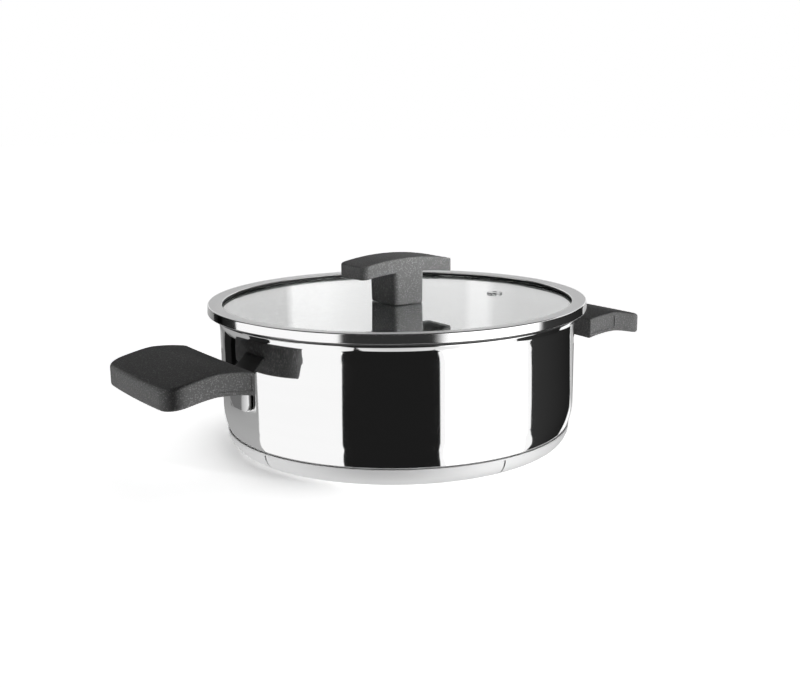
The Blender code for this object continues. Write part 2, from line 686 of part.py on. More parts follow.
def build_knob(shop, plastic):
    """The moulded T-shaped knob, with a recess for its pad and a bore for its insert."""
    block = stand_up(plate_mesh("knob", knob_outline(), KNOB_DEPTH))
    knob = shop.add("knob", block, plastic)
    trim_depth = KNOB_FOOT + KNOB_HEIGHT + CUT_PAST
    trim = shop.add_cutter("knob_plan", plate_mesh("knob_plan", knob_plan(), trim_depth))
    combine(knob, trim, "INTERSECT")
    add_bevel(knob, KNOB_EDGE)
    pad_top = KNOB_FOOT + KNOB_PAD_HEIGHT + GAP
    insert_top = pad_top + KNOB_INSERT_LENGTH + GAP
    insert_bore = KNOB_INSERT_RADIUS + BORE_CLEARANCE
    pad_bore = KNOB_PAD_RADIUS + BORE_CLEARANCE
    below = KNOB_FOOT - CUT_PAST
    bore = [(0.0, insert_top), (insert_bore, insert_top), (insert_bore, pad_top)]
    bore += [(pad_bore, pad_top), (pad_bore, below), (0.0, below)]
    combine(knob, turned_cutter(shop, "knob_bore", bore, SMALL_STEPS))


def build_knob_fixing(shop, steel, brass, rubber):
    """What holds the knob on the glass: insert, pad, seal, washer and screw, top to bottom."""
    shank = KNOB_SCREW_SHANK + BORE_CLEARANCE
    pad_top = KNOB_FOOT + KNOB_PAD_HEIGHT
    insert_bottom = pad_top + GAP
    insert_top = insert_bottom + KNOB_INSERT_LENGTH
    insert = tube_profile(KNOB_INSERT_RADIUS, shank, insert_bottom, insert_top)
    turned(shop, "knob_insert", insert, brass, SMALL_STEPS, closed=True)
    pad = tube_profile(KNOB_PAD_RADIUS, shank, KNOB_FOOT, pad_top)
    turned(shop, "knob_pad", pad, rubber, SMALL_STEPS, closed=True)
    seal_top = GLASS_BOTTOM - GAP
    seal_bottom = seal_top - KNOB_SEAL_HEIGHT
    seal = tube_profile(KNOB_SEAL_RADIUS, shank, seal_bottom, seal_top)
    turned(shop, "knob_seal", seal, rubber, SMALL_STEPS, closed=True)
    washer_top = seal_bottom - GAP
    washer_bottom = washer_top - KNOB_WASHER_HEIGHT
    washer = tube_profile(KNOB_WASHER_RADIUS, shank, washer_bottom, washer_top)
    turned(shop, "knob_washer", washer, steel, SMALL_STEPS, closed=True)
    head_top = washer_bottom - GAP
    tip = insert_bottom + KNOB_SCREW_GRIP
    profile = screw_profile(KNOB_SCREW_SHANK, tip, KNOB_SCREW_HEAD, head_top,
                            KNOB_SCREW_HEAD_HEIGHT, KNOB_SCREW_FACE, KNOB_SCREW_DOME)
    screw = turned(shop, "knob_screw", profile, steel, SMALL_STEPS)
    cut_cross(shop, screw, KNOB_SCREW_HEAD, head_top - KNOB_SCREW_HEAD_HEIGHT)


def add_empty(shop, name, location, turn=0.0):
    """A bare frame that pieces are parented to."""
    frame = bpy.data.objects.new(name, None)
    shop.parts.objects.link(frame)
    frame.location = location
    frame.rotation_euler.z = turn
    return frame


def main():
    clear_scene()
    parts = new_collection("casserole_pan")
    cutters = new_collection("cutters")
    shop = Workshop(parts, cutters)
    polished = make_material("polished_steel", (0.78, 0.78, 0.78), 0.12, 1.0)
    satin = make_material("satin_steel", (0.62, 0.62, 0.62), 0.32, 1.0)
    bright = make_material("bright_steel", (0.70, 0.70, 0.70), 0.22, 1.0)
    aluminium = make_material("aluminium", (0.72, 0.72, 0.73), 0.45, 1.0)
    brass = make_material("brass", (0.72, 0.55, 0.28), 0.35, 1.0)
    phenolic = make_material("phenolic", (0.035, 0.035, 0.035), 0.45, 0.0)
    silicone = make_material("silicone", (0.03, 0.03, 0.03), 0.6, 0.0)
    glass = make_material("glass", (0.92, 0.95, 0.94), 0.02, 0.0, 1.0)

    shop.parent = add_empty(shop, "pan_frame", (0.0, 0.0, 0.0))
    build_pot_body(shop, polished)
    build_base_cap(shop, satin)
    build_base_core(shop, aluminium)
    for side, turn in (("right", 0.0), ("left", math.pi)):
        shop.parent = add_empty(shop, "handle_frame_" + side, (0.0, 0.0, 0.0), turn)
        build_bracket(shop, side, polished)
        build_grip(shop, side, phenolic)
        build_handle_screw(shop, side, bright)

    shop.parent = add_empty(shop, "lid_frame", (0.0, 0.0, 0.0))
    build_ring(shop, satin)
    build_gasket(shop, silicone)
    build_glass(shop, glass)
    build_vent(shop, bright)
    build_knob(shop, phenolic)
    build_knob_fixing(shop, bright, brass, silicone)


main()
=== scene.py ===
# %% [markdown]
# # A casserole pan with a glass lid
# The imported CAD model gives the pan's pieces, their places and the way the lid moves. This lesson
# dresses it: finer pieces stand in for the plain solids, and every surface gets a finish made of
# nodes. The model comes in as a fixed frame, and its box is kept, so that the dressed pan can be
# set against it at the end.

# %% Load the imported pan
import json
import math

import bmesh
import bpy
from mathutils import Matrix, Vector

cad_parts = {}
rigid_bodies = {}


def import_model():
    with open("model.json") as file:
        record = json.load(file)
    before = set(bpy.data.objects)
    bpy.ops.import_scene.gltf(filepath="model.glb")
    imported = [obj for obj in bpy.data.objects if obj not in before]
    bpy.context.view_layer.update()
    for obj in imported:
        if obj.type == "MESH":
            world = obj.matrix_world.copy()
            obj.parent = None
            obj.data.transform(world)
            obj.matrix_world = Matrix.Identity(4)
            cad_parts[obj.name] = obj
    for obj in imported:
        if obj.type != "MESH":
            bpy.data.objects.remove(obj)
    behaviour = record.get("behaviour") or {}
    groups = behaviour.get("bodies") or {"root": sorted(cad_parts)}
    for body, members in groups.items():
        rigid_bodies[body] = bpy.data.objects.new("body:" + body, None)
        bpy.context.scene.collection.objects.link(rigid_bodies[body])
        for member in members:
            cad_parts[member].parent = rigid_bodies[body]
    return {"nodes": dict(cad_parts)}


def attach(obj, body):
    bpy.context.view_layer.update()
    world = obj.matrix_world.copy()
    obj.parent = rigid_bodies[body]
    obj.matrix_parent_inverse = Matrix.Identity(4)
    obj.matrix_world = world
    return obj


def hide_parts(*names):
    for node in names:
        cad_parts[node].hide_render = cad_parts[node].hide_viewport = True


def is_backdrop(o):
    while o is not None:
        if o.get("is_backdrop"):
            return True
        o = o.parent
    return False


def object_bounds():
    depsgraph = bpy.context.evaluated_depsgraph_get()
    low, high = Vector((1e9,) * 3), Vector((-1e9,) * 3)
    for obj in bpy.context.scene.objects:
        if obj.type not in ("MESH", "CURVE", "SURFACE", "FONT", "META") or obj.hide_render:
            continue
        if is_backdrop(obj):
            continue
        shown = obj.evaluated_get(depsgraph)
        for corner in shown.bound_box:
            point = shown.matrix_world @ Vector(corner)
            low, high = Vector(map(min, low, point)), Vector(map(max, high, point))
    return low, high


for leftover in list(bpy.data.objects):
    bpy.data.objects.remove(leftover, do_unlink=True)
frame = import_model()
cad_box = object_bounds()

# %% [markdown]
# ## The camera
# The camera stands where the photographer stood. Its place was fitted to the circles of the rim,
# the lip, the seam and the base, and to the corners of the grips and the knob. A 51 mm lens some
# 80 centimetres away gives the mild perspective of a product picture. Only a small shift is
# needed, because the pan sits a little below the middle of the picture.

# %% Stand the camera
CAMERA_TURN = math.radians(34.552)
CAMERA_TILT = math.radians(13.88)
CAMERA_ROLL = math.radians(-0.66)
CAMERA_PLACE = (0.001456, -0.765017, 0.229093)
LENS = 50.898
SHIFT_UP = 0.04449


def studio_point(across, away, up):
    """A point given as seen from the camera's side: to the right, away from it, and up."""
    return Matrix.Rotation(-CAMERA_TURN, 3, "Z") @ Vector((across, away, up))


def stand_camera():
    forward = studio_point(0.0, math.cos(CAMERA_TILT), -math.sin(CAMERA_TILT))
    level = studio_point(1.0, 0.0, 0.0)
    upright = level.cross(forward)
    right = level * math.cos(CAMERA_ROLL) + upright * math.sin(CAMERA_ROLL)
    up = right.cross(forward)
    turn = Matrix((right, up, -forward)).transposed()
    lens = bpy.data.cameras.new("camera")
    lens.lens = LENS
    lens.sensor_width = 36.0
    lens.shift_y = SHIFT_UP
    camera = bpy.data.objects.new("camera", lens)
    bpy.context.scene.collection.objects.link(camera)
    camera.matrix_world = Matrix.Translation(studio_point(*CAMERA_PLACE)) @ turn.to_4x4()
    bpy.context.scene.camera = camera
    return camera


camera = stand_camera()
print("camera at", [round(value, 3) for value in camera.matrix_world.translation])

# %% [markdown]
# ## Building blocks for the finishes
# Steel that was polished on a lathe, a brushed lid and a moulded grip all show fine marks, and
# each kind of mark is wanted in several materials. A shader node group keeps such an effect in
# one place. Each group below puts out only masks and heights, and each material feeds them into
# its own shader with its own amounts. All of them read Object coordinates, so the marks stay on
# the piece whatever the camera does.

# %% A helper for node groups
def new_group(name, inputs, outputs):
    """An empty shader node group with named sockets, and its two end nodes."""
    group = bpy.data.node_groups.new(name, "ShaderNodeTree")
    for label, kind, value in inputs:
        socket = group.interface.new_socket(label, in_out="INPUT", socket_type=kind)
        socket.default_value = value
    for label, kind in outputs:
        group.interface.new_socket(label, in_out="OUTPUT", socket_type=kind)
    return group, group.nodes.new("NodeGroupInput"), group.nodes.new("NodeGroupOutput")


def math_node(tree, operation, first, second=None):
    """A Math node whose inputs are sockets or plain numbers; gives its output."""
    node = tree.nodes.new("ShaderNodeMath")
    node.operation = operation
    for slot, value in zip(node.inputs, (first, second)):
        if isinstance(value, bpy.types.NodeSocket):
            tree.links.new(value, slot)
        elif value is not None:
            slot.default_value = value
    return node.outputs[0]


def remap(tree, value, low, high):
    """Turn a 0 to 1 value into one between two numbers."""
    node = tree.nodes.new("ShaderNodeMapRange")
    node.inputs["To Min"].default_value = low
    node.inputs["To Max"].default_value = high
    tree.links.new(value, node.inputs["Value"])
    return node.outputs["Result"]


def noise(tree, vector, scale, detail=3.0, roughness=0.55):
    node = tree.nodes.new("ShaderNodeTexNoise")
    node.inputs["Scale"].default_value = scale
    node.inputs["Detail"].default_value = detail
    node.inputs["Roughness"].default_value = roughness
    tree.links.new(vector, node.inputs["Vector"])
    return node.outputs["Fac"]


# %% [markdown]
# ### Marks from turning
# The pan, its base, the lid's ring and all the small fixings are round, and they are finished
# while they spin. The marks are therefore thin rings. The group measures the distance from the
# spindle's axis and packs the noise tightly across the rings and very loosely along them.

# %% Make the group for turned marks
def turned_marks_group():
    inputs = (("Centre", "NodeSocketVector", (0.0, 0.0, 0.0)),
              ("Fineness", "NodeSocketFloat", 900.0),
              ("Length", "NodeSocketFloat", 3.0))
    outputs = (("Lines", "NodeSocketFloat"), ("Bands", "NodeSocketFloat"))
    group, start, end = new_group("Turned marks", inputs, outputs)
    place = group.nodes.new("ShaderNodeTexCoord")
    offset = group.nodes.new("ShaderNodeVectorMath")
    offset.operation = "SUBTRACT"
    group.links.new(place.outputs["Object"], offset.inputs[0])
    group.links.new(start.outputs["Centre"], offset.inputs[1])
    split = group.nodes.new("ShaderNodeSeparateXYZ")
    group.links.new(offset.outputs["Vector"], split.inputs[0])
    squares = [math_node(group, "POWER", split.outputs[axis], 2.0) for axis in ("X", "Y")]
    radius = math_node(group, "SQRT", math_node(group, "ADD", *squares))
    safe = math_node(group, "MAXIMUM", radius, 0.0001)
    along = [math_node(group, "MULTIPLY", math_node(group, "DIVIDE", split.outputs[axis], safe),
                       start.outputs["Length"]) for axis in ("X", "Y")]
    rise = math_node(group, "MULTIPLY", split.outputs["Z"], 0.83)
    across = math_node(group, "MULTIPLY", math_node(group, "ADD", radius, rise),
                       start.outputs["Fineness"])
    pack = group.nodes.new("ShaderNodeCombineXYZ")
    for value, slot in zip(along + [across], pack.inputs):
        group.links.new(value, slot)
    group.links.new(noise(group, pack.outputs[0], 1.0, 4.0, 0.6), end.inputs["Lines"])
    group.links.new(noise(group, pack.outputs[0], 0.11, 2.0), end.inputs["Bands"])
    return group


turned_marks = turned_marks_group()
print("group:", turned_marks.name)

# %% [markdown]
# ### Moulded grain and handling
# The mould for the grips was etched, which leaves a fine even grain. Lighter specks in the colour
# are painted glints on that grain. Handling adds what no factory makes: broad, faint patches where
# steel, glass or plastic shines a little less. Both groups are plain noise at very different sizes.

# %% Make the groups for grain and for handling
def scaled_place(group, scale):
    """Object coordinates times a scale that comes from a socket."""
    size = group.nodes.new("ShaderNodeVectorMath")
    size.operation = "SCALE"
    group.links.new(group.nodes.new("ShaderNodeTexCoord").outputs["Object"], size.inputs[0])
    group.links.new(scale, size.inputs["Scale"])
    return size.outputs["Vector"]


def moulded_grain_group():
    inputs = (("Grain", "NodeSocketFloat", 2600.0),)
    group, start, end = new_group("Moulded grain", inputs,
                                  (("Grain", "NodeSocketFloat"), ("Painted Glints", "NodeSocketFloat")))
    place = scaled_place(group, start.outputs["Grain"])
    group.links.new(noise(group, place, 1.0, 2.0, 0.6), end.inputs["Grain"])
    peaks = group.nodes.new("ShaderNodeMapRange")
    peaks.inputs["From Min"].default_value = 0.52
    peaks.inputs["From Max"].default_value = 0.72
    group.links.new(noise(group, place, 0.62, 1.0), peaks.inputs["Value"])
    group.links.new(peaks.outputs["Result"], end.inputs["Painted Glints"])
    return group


def handling_group():
    inputs = (("Patch", "NodeSocketFloat", 22.0),)
    group, start, end = new_group("Handling", inputs, (("Smudge", "NodeSocketFloat"),))
    place = scaled_place(group, start.outputs["Patch"])
    broad = noise(group, place, 1.0, 3.0)
    fine = noise(group, place, 7.0, 2.0)
    mixed = math_node(group, "ADD", math_node(group, "MULTIPLY", broad, 0.75),
                      math_node(group, "MULTIPLY", fine, 0.25))
    group.links.new(mixed, end.inputs["Smudge"])
    return group


moulded_grain = moulded_grain_group()
handling = handling_group()
print("groups:", moulded_grain.name, "and", handling.name)

# %% [markdown]
# ### A workbench for materials
# A material needs its Principled shader, a few groups in front of it, and one Bump node. These
# helpers keep each finish below down to the numbers that make it what it is. The bump distance is
# in metres, so a polishing mark of a fraction of a micrometre can be written as what it is.

# %% Helpers for materials
def new_material(name, roughness=0.5, metallic=0.0, ior=1.5):
    """A material with a Principled shader; gives the material, its tree and its shader."""
    material = bpy.data.materials.new(name)
    material.use_nodes = True
    tree = material.node_tree
    shader = tree.nodes["Principled BSDF"]
    shader.inputs["Roughness"].default_value = roughness
    shader.inputs["Metallic"].default_value = metallic
    shader.inputs["IOR"].default_value = ior
    return material, tree, shader


def place_group(tree, group, **values):
    node = tree.nodes.new("ShaderNodeGroup")
    node.node_tree = group
    for label, value in values.items():
        node.inputs[label].default_value = value
    return node


def two_greys(tree, shader, mask, low, high):
    """Colour a shader between two colours by a mask."""
    blend = tree.nodes.new("ShaderNodeMix")
    blend.data_type = "RGBA"
    blend.inputs["A"].default_value = (*low, 1.0)
    blend.inputs["B"].default_value = (*high, 1.0)
    tree.links.new(mask, blend.inputs["Factor"])
    tree.links.new(blend.outputs["Result"], shader.inputs["Base Color"])


def bump_up(tree, shader, height, depth):
    bump = tree.nodes.new("ShaderNodeBump")
    bump.inputs["Distance"].default_value = depth
    tree.links.new(height, bump.inputs["Height"])
    tree.links.new(bump.outputs["Normal"], shader.inputs["Normal"])


# %% [markdown]
# ## The steels
# One kind of sheet metal, nine finishes. The wall, the straps and the side of the lid's ring are
# polished. The pan's inside and the base are brushed while they turn, and the lid's flange has a
# duller satin. Sheared edges are left as they are, and the straps' and the ring's hidden faces get
# a near-black steel that is painted shade. Screws, washers and the steam eyelet come bright off a
# lathe. All of them are the same nodes with other numbers: how light the metal is, how rough, and
# how deep the rings are.

# %% Make the steels
def steel(name, shades, roughness, fineness, depth, length=3.0, centre=(0.0, 0.0, 0.0)):
    """A turned metal: two shades, two roughnesses, and rings of a fineness and a depth."""
    material, tree, shader = new_material(name, metallic=1.0)
    marks = place_group(tree, turned_marks, Centre=centre, Fineness=fineness, Length=length)
    touch = place_group(tree, handling)
    two_greys(tree, shader, marks.outputs["Bands"], *shades)
    worn = math_node(tree, "MULTIPLY", touch.outputs["Smudge"], 0.6)
    lines = math_node(tree, "MULTIPLY", marks.outputs["Lines"], 0.4)
    tree.links.new(remap(tree, math_node(tree, "ADD", worn, lines), *roughness),
                   shader.inputs["Roughness"])
    bump_up(tree, shader, marks.outputs["Lines"], depth)
    return material


def grey(low, high):
    return (low, low, low), (high, high, high)


mirror_steel = steel("mirror steel", grey(0.92, 0.95), (0.015, 0.075), 700.0, 0.00000025)
# The inside's dark grey is painted shade; its brushing is real.
inside_steel_with_painted_shade = steel("brushed inside steel with painted shade", grey(0.40, 0.46), (0.20, 0.34), 1500.0, 0.000004)
satin_steel = steel("satin base steel", grey(0.97, 1.0), (0.68, 0.78), 1800.0, 0.000005)
flange_steel = steel("satin flange steel", grey(0.80, 0.86), (0.38, 0.48), 2000.0, 0.000004)
edge_steel = steel("polished edge steel", grey(0.94, 0.97), (0.05, 0.12), 900.0, 0.0000008)
# A near-black steel that is painted shade, for the straps' and the ring's hidden faces.
painted_shade_steel = steel("dark painted shade metal", grey(0.06, 0.09), (0.45, 0.60), 900.0, 0.000004)
bright_steel = steel("bright fixings", grey(0.62, 0.72), (0.16, 0.30), 2500.0, 0.000003)
strap_steel = steel("polished strap steel", grey(0.88, 0.94), (0.01, 0.05), 500.0, 0.0000006, 40.0)
sheared_steel = steel("sheared steel edge", grey(0.28, 0.36), (0.30, 0.45), 1800.0, 0.000004, 60.0)
print("steels:", len([made for made in bpy.data.materials if "steel" in made.name]))

# %% [markdown]
# ## Aluminium, brass, plastic and rubber
# The heat spreader in the base is pressed aluminium with a mottled skin, and the knob's insert is
# brass. The grips and the knob are dark phenolic: nearly matt and finely grained, with lighter
# specks painted into the colour as glints. The seals are black silicone, which is smooth but never
# glossy.

# %% Make the other solid finishes
PRESSED_DEPTH = 0.00002


def pressed_metal(name, shades, roughness, size):
    material, tree, shader = new_material(name, metallic=1.0)
    mottle = place_group(tree, handling, Patch=size)
    two_greys(tree, shader, mottle.outputs["Smudge"], *shades)
    tree.links.new(remap(tree, mottle.outputs["Smudge"], *roughness), shader.inputs["Roughness"])
    bump_up(tree, shader, mottle.outputs["Smudge"], PRESSED_DEPTH)
    return material


def moulded(name, shades, roughness, grain, depth, shine):
    """A moulded plastic or rubber with a grain of its own size and depth."""
    material, tree, shader = new_material(name)
    shader.inputs["Specular IOR Level"].default_value = shine
    skin = place_group(tree, moulded_grain, Grain=grain)
    touch = place_group(tree, handling, Patch=30.0)
    # Lighter specks in the colour are painted glints; the smudges are random tone.
    lights = math_node(tree, "ADD", math_node(tree, "MULTIPLY", skin.outputs["Painted Glints"], 0.7),
                       math_node(tree, "MULTIPLY", touch.outputs["Smudge"], 0.3))
    two_greys(tree, shader, lights, *shades)
    tree.links.new(remap(tree, touch.outputs["Smudge"], *roughness), shader.inputs["Roughness"])
    bump_up(tree, shader, skin.outputs["Grain"], depth)
    return material


aluminium = pressed_metal("pressed aluminium", grey(0.66, 0.78), (0.34, 0.52), 160.0)
brass = pressed_metal("turned brass", ((0.66, 0.49, 0.24), (0.76, 0.60, 0.32)), (0.25, 0.40), 300.0)
phenolic = moulded("grained phenolic", grey(0.060, 0.176), (0.62, 0.78), 1800.0, 0.00007, 0.12)
silicone = moulded("black silicone", grey(0.016, 0.026), (0.50, 0.64), 900.0, 0.00001, 0.3)
print("plastic and rubber:", phenolic.name, "and", silicone.name)

# %% [markdown]
# ## The glass
# The pane is clear toughened glass. Seen as flat as in the photograph, it mirrors the knob and the
# studio more than it shows the pan's inside. A thin coat gives it that strong glance without
# turning it dull from above. Light Path lets lamp light through to the pan's inside, which plain
# refraction would block.

# %% Make the glass
def make_glass():
    material, tree, shader = new_material("clear glass", roughness=0.0)
    shader.inputs["Transmission Weight"].default_value = 1.0
    shader.inputs["Coat Weight"].default_value = 1.0
    shader.inputs["Coat Roughness"].default_value = 0.0
    shader.inputs["Coat IOR"].default_value = 2.2
    touch = place_group(tree, handling, Patch=16.0)
    two_greys(tree, shader, touch.outputs["Smudge"], (0.80, 0.83, 0.82), (0.86, 0.89, 0.88))
    tree.links.new(remap(tree, touch.outputs["Smudge"], 0.0, 0.012), shader.inputs["Roughness"])
    clear = tree.nodes.new("ShaderNodeBsdfTransparent")
    clear.inputs["Color"].default_value = (0.82, 0.85, 0.84, 1.0)
    path = tree.nodes.new("ShaderNodeLightPath")
    choice = tree.nodes.new("ShaderNodeMixShader")
    tree.links.new(path.outputs["Is Shadow Ray"], choice.inputs["Fac"])
    tree.links.new(shader.outputs["BSDF"], choice.inputs[1])
    tree.links.new(clear.outputs["BSDF"], choice.inputs[2])
    output = tree.nodes["Material Output"]
    tree.links.new(choice.outputs["Shader"], output.inputs["Surface"])
    return material


glass = make_glass()
print("glass:", glass.name)

# %% [markdown]
# ## Turning a profile
# Most of this pan is made on a spindle, and its model can be made the same way: draw half of the
# outline and turn it once round the axis. A Screw modifier would do. A Geometry Nodes tree shows
# the rule itself: lay out a grid with one column for each step, take each row's radius and height
# from the drawn profile, and rotate each column by its share of the circle. The first and last
# columns meet and are merged, and so are the points on the axis.

# %% Build the turning tree
def wire(tree, output, node, label):
    """Link an output socket to a node's named or numbered input."""
    tree.links.new(output, node.inputs[label])


def tree_with(name, inputs):
    """A Geometry Nodes tree with a geometry input and output and named inputs."""
    tree = bpy.data.node_groups.new(name, "GeometryNodeTree")
    tree.interface.new_socket("Geometry", in_out="INPUT", socket_type="NodeSocketGeometry")
    for label, kind in inputs:
        tree.interface.new_socket(label, in_out="INPUT", socket_type=kind)
    tree.interface.new_socket("Geometry", in_out="OUTPUT", socket_type="NodeSocketGeometry")
    return tree, tree.nodes.new("NodeGroupInput"), tree.nodes.new("NodeGroupOutput")


def finish_tree(tree, geometry, start, end):
    """End a tree in Realize Instances and Set Material."""
    real = tree.nodes.new("GeometryNodeRealizeInstances")
    coat = tree.nodes.new("GeometryNodeSetMaterial")
    wire(tree, geometry, real, "Geometry")
    wire(tree, real.outputs[0], coat, "Geometry")
    wire(tree, start.outputs["Material"], coat, "Material")
    wire(tree, coat.outputs[0], end, "Geometry")


def turning_tree():
    tree, start, end = tree_with("Turn a profile", (("Steps", "NodeSocketInt"),
                                                    ("Material", "NodeSocketMaterial")))
    size = tree.nodes.new("GeometryNodeAttributeDomainSize")
    wire(tree, start.outputs["Geometry"], size, "Geometry")
    rows = size.outputs["Point Count"]
    grid = tree.nodes.new("GeometryNodeMeshGrid")
    wire(tree, math_node(tree, "ADD", start.outputs["Steps"], 1.0), grid, "Vertices X")
    wire(tree, rows, grid, "Vertices Y")
    index = tree.nodes.new("GeometryNodeInputIndex").outputs[0]
    column = math_node(tree, "FLOOR", math_node(tree, "DIVIDE", index, rows))
    row = math_node(tree, "SUBTRACT", index, math_node(tree, "MULTIPLY", column, rows))
    drawn = tree.nodes.new("GeometryNodeSampleIndex")
    drawn.data_type = "FLOAT_VECTOR"
    wire(tree, start.outputs["Geometry"], drawn, "Geometry")
    wire(tree, tree.nodes.new("GeometryNodeInputPosition").outputs[0], drawn, "Value")
    wire(tree, row, drawn, "Index")
    share = math_node(tree, "DIVIDE", column, start.outputs["Steps"])
    turn = tree.nodes.new("ShaderNodeVectorRotate")
    turn.rotation_type = "Z_AXIS"
    wire(tree, drawn.outputs[0], turn, "Vector")
    wire(tree, math_node(tree, "MULTIPLY", share, math.tau), turn, "Angle")
    moved = tree.nodes.new("GeometryNodeSetPosition")
    wire(tree, grid.outputs["Mesh"], moved, "Geometry")
    wire(tree, turn.outputs[0], moved, "Position")
    merged = tree.nodes.new("GeometryNodeMergeByDistance")
    merged.inputs["Distance"].default_value = 0.0000005
    wire(tree, moved.outputs[0], merged, "Geometry")
    finish_tree(tree, merged.outputs[0], start, end)
    return tree


turn_profile = turning_tree()
print("tree:", turn_profile.name, "with", len(turn_profile.nodes), "nodes")

# %% [markdown]
# ## Blocks cut round an axis
# The base has four slits in its side, and each screw has a cross in its head. Both are blocks
# that stand round an axis and are cut away, so one tree serves them. It instances a block on a
# few points, turns each to its angle, and subtracts them from the piece.

# %% Build the cutting tree
def cutting_tree():
    tree, start, end = tree_with("Cut blocks round an axis", (
        ("Block", "NodeSocketVector"), ("Out", "NodeSocketFloat"), ("Centre", "NodeSocketVector"),
        ("Count", "NodeSocketInt"), ("First Angle", "NodeSocketFloat"),
        ("Second Angle", "NodeSocketFloat"), ("Material", "NodeSocketMaterial")))
    block = tree.nodes.new("GeometryNodeMeshCube")
    wire(tree, start.outputs["Block"], block, "Size")
    out = tree.nodes.new("ShaderNodeCombineXYZ")
    wire(tree, start.outputs["Out"], out, "X")
    pushed = tree.nodes.new("GeometryNodeTransform")
    wire(tree, block.outputs["Mesh"], pushed, "Geometry")
    wire(tree, out.outputs[0], pushed, "Translation")
    points = tree.nodes.new("GeometryNodePoints")
    wire(tree, start.outputs["Count"], points, "Count")
    wire(tree, start.outputs["Centre"], points, "Position")
    index = tree.nodes.new("GeometryNodeInputIndex").outputs[0]
    pair = math_node(tree, "FLOOR", math_node(tree, "DIVIDE", index, 2.0))
    odd = math_node(tree, "SUBTRACT", index, math_node(tree, "MULTIPLY", pair, 2.0))
    extra = math_node(tree, "MULTIPLY", odd, start.outputs["Second Angle"])
    half_turns = math_node(tree, "MULTIPLY", pair, math.pi)
    angle = math_node(tree, "ADD", math_node(tree, "ADD", extra, half_turns),
                      start.outputs["First Angle"])
    spin = tree.nodes.new("ShaderNodeCombineXYZ")
    wire(tree, angle, spin, "Z")
    euler = tree.nodes.new("FunctionNodeEulerToRotation")
    wire(tree, spin.outputs[0], euler, 0)
    copies = tree.nodes.new("GeometryNodeInstanceOnPoints")
    wire(tree, points.outputs[0], copies, "Points")
    wire(tree, pushed.outputs[0], copies, "Instance")
    wire(tree, euler.outputs[0], copies, "Rotation")
    solid = tree.nodes.new("GeometryNodeRealizeInstances")
    wire(tree, copies.outputs[0], solid, "Geometry")
    cut = tree.nodes.new("GeometryNodeMeshBoolean")
    cut.operation = "DIFFERENCE"
    cut.solver = "EXACT"
    cut.inputs["Self Intersection"].default_value = True
    wire(tree, start.outputs["Geometry"], cut, "Mesh 1")
    wire(tree, solid.outputs[0], cut, "Mesh 2")
    finish_tree(tree, cut.outputs["Mesh"], start, end)
    return tree


cut_blocks = cutting_tree()
print("tree:", cut_blocks.name, "with", len(cut_blocks.nodes), "nodes")

# %% [markdown]
# ## From a drawing to a finished piece
# A tree's result is live until it is turned into a plain mesh, which is what the rest of the
# pipeline needs. Then doubles are merged, the faces are made to point outwards, and edges that
# really are sharp are marked, so that rounded parts shade smoothly and corners stay crisp.

# %% Helpers that make plain meshes
SHARP = math.radians(38.0)
SHARP_ON_MOULDED = math.radians(30.0)
SAME_PLACE = 0.0000005


def set_inputs(modifier, tree, values):
    """Set a Geometry Nodes modifier's inputs by their sockets' identifiers."""
    for item in tree.interface.items_tree:
        if item.item_type == "SOCKET" and item.in_out == "INPUT" and item.name in values:
            modifier[item.identifier] = values[item.name]


def plain_mesh(thing):
    """Replace an object's mesh by what its modifiers make of it."""
    ready = thing.evaluated_get(bpy.context.evaluated_depsgraph_get())
    mesh = bpy.data.meshes.new_from_object(ready)
    thing.modifiers.clear()
    thing.data = mesh
    mesh.name = thing.name
    return mesh


def tidy(mesh, sharp=SHARP):
    """Merge doubles, turn faces outwards, and shade smooth except at sharp edges."""
    work = bmesh.new()
    work.from_mesh(mesh)
    bmesh.ops.remove_doubles(work, verts=work.verts, dist=SAME_PLACE)
    bmesh.ops.recalc_face_normals(work, faces=work.faces)
    for face in work.faces:
        face.smooth = True
    work.to_mesh(mesh)
    work.free()
    mesh.set_sharp_from_angle(angle=sharp)


def only_material(mesh, material):
    """Give every face of a mesh one and the same material."""
    mesh.materials.clear()
    mesh.materials.append(material)
    for face in mesh.polygons:
        face.material_index = 0


def new_piece(name, mesh):
    thing = bpy.data.objects.new(name, mesh)
    bpy.context.scene.collection.objects.link(thing)
    return thing


def run_tree(thing, tree, **values):
    """Run a Geometry Nodes tree on an object and keep the result as its plain mesh."""
    modifier = thing.modifiers.new(tree.name, "NODES")
    modifier.node_group = tree
    set_inputs(modifier, tree, {key.replace("_", " "): value for key, value in values.items()})
    only_material(plain_mesh(thing), values["Material"])
    return thing


def turned(name, profile, material, steps=72, place=(0.0, 0.0, 0.0)):
    """A turned piece from its profile of radii and heights, moved to its place."""
    mesh = bpy.data.meshes.new(name)
    mesh.from_pydata([(radius, 0.0, height) for radius, height in profile], [], [])
    thing = run_tree(new_piece(name, mesh), turn_profile, Steps=steps, Material=material)
    thing.data.transform(Matrix.Translation(place))
    tidy(thing.data)
    return thing


def seat(piece, body, slot, *nodes):
    """Let a finished piece ride on its body in place of its solids. The slot is not used."""
    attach(piece, body)
    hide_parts(*nodes)
    faces = len(piece.data.polygons)
    print("%-22s %6d faces, stands for %s" % (piece.name, faces, ", ".join(nodes)))


def oval_arc(centre, radii, start, end, steps):
    """Points of an arc with unlike radii, between two angles in degrees."""
    points = []
    for index in range(steps + 1):
        angle = math.radians(start + (end - start) * index / steps)
        points.append((centre[0] + radii[0] * math.cos(angle),
                       centre[1] + radii[1] * math.sin(angle)))
    return points


def arc(centre, radius, start, end, steps):
    return oval_arc(centre, (radius, radius), start, end, steps)


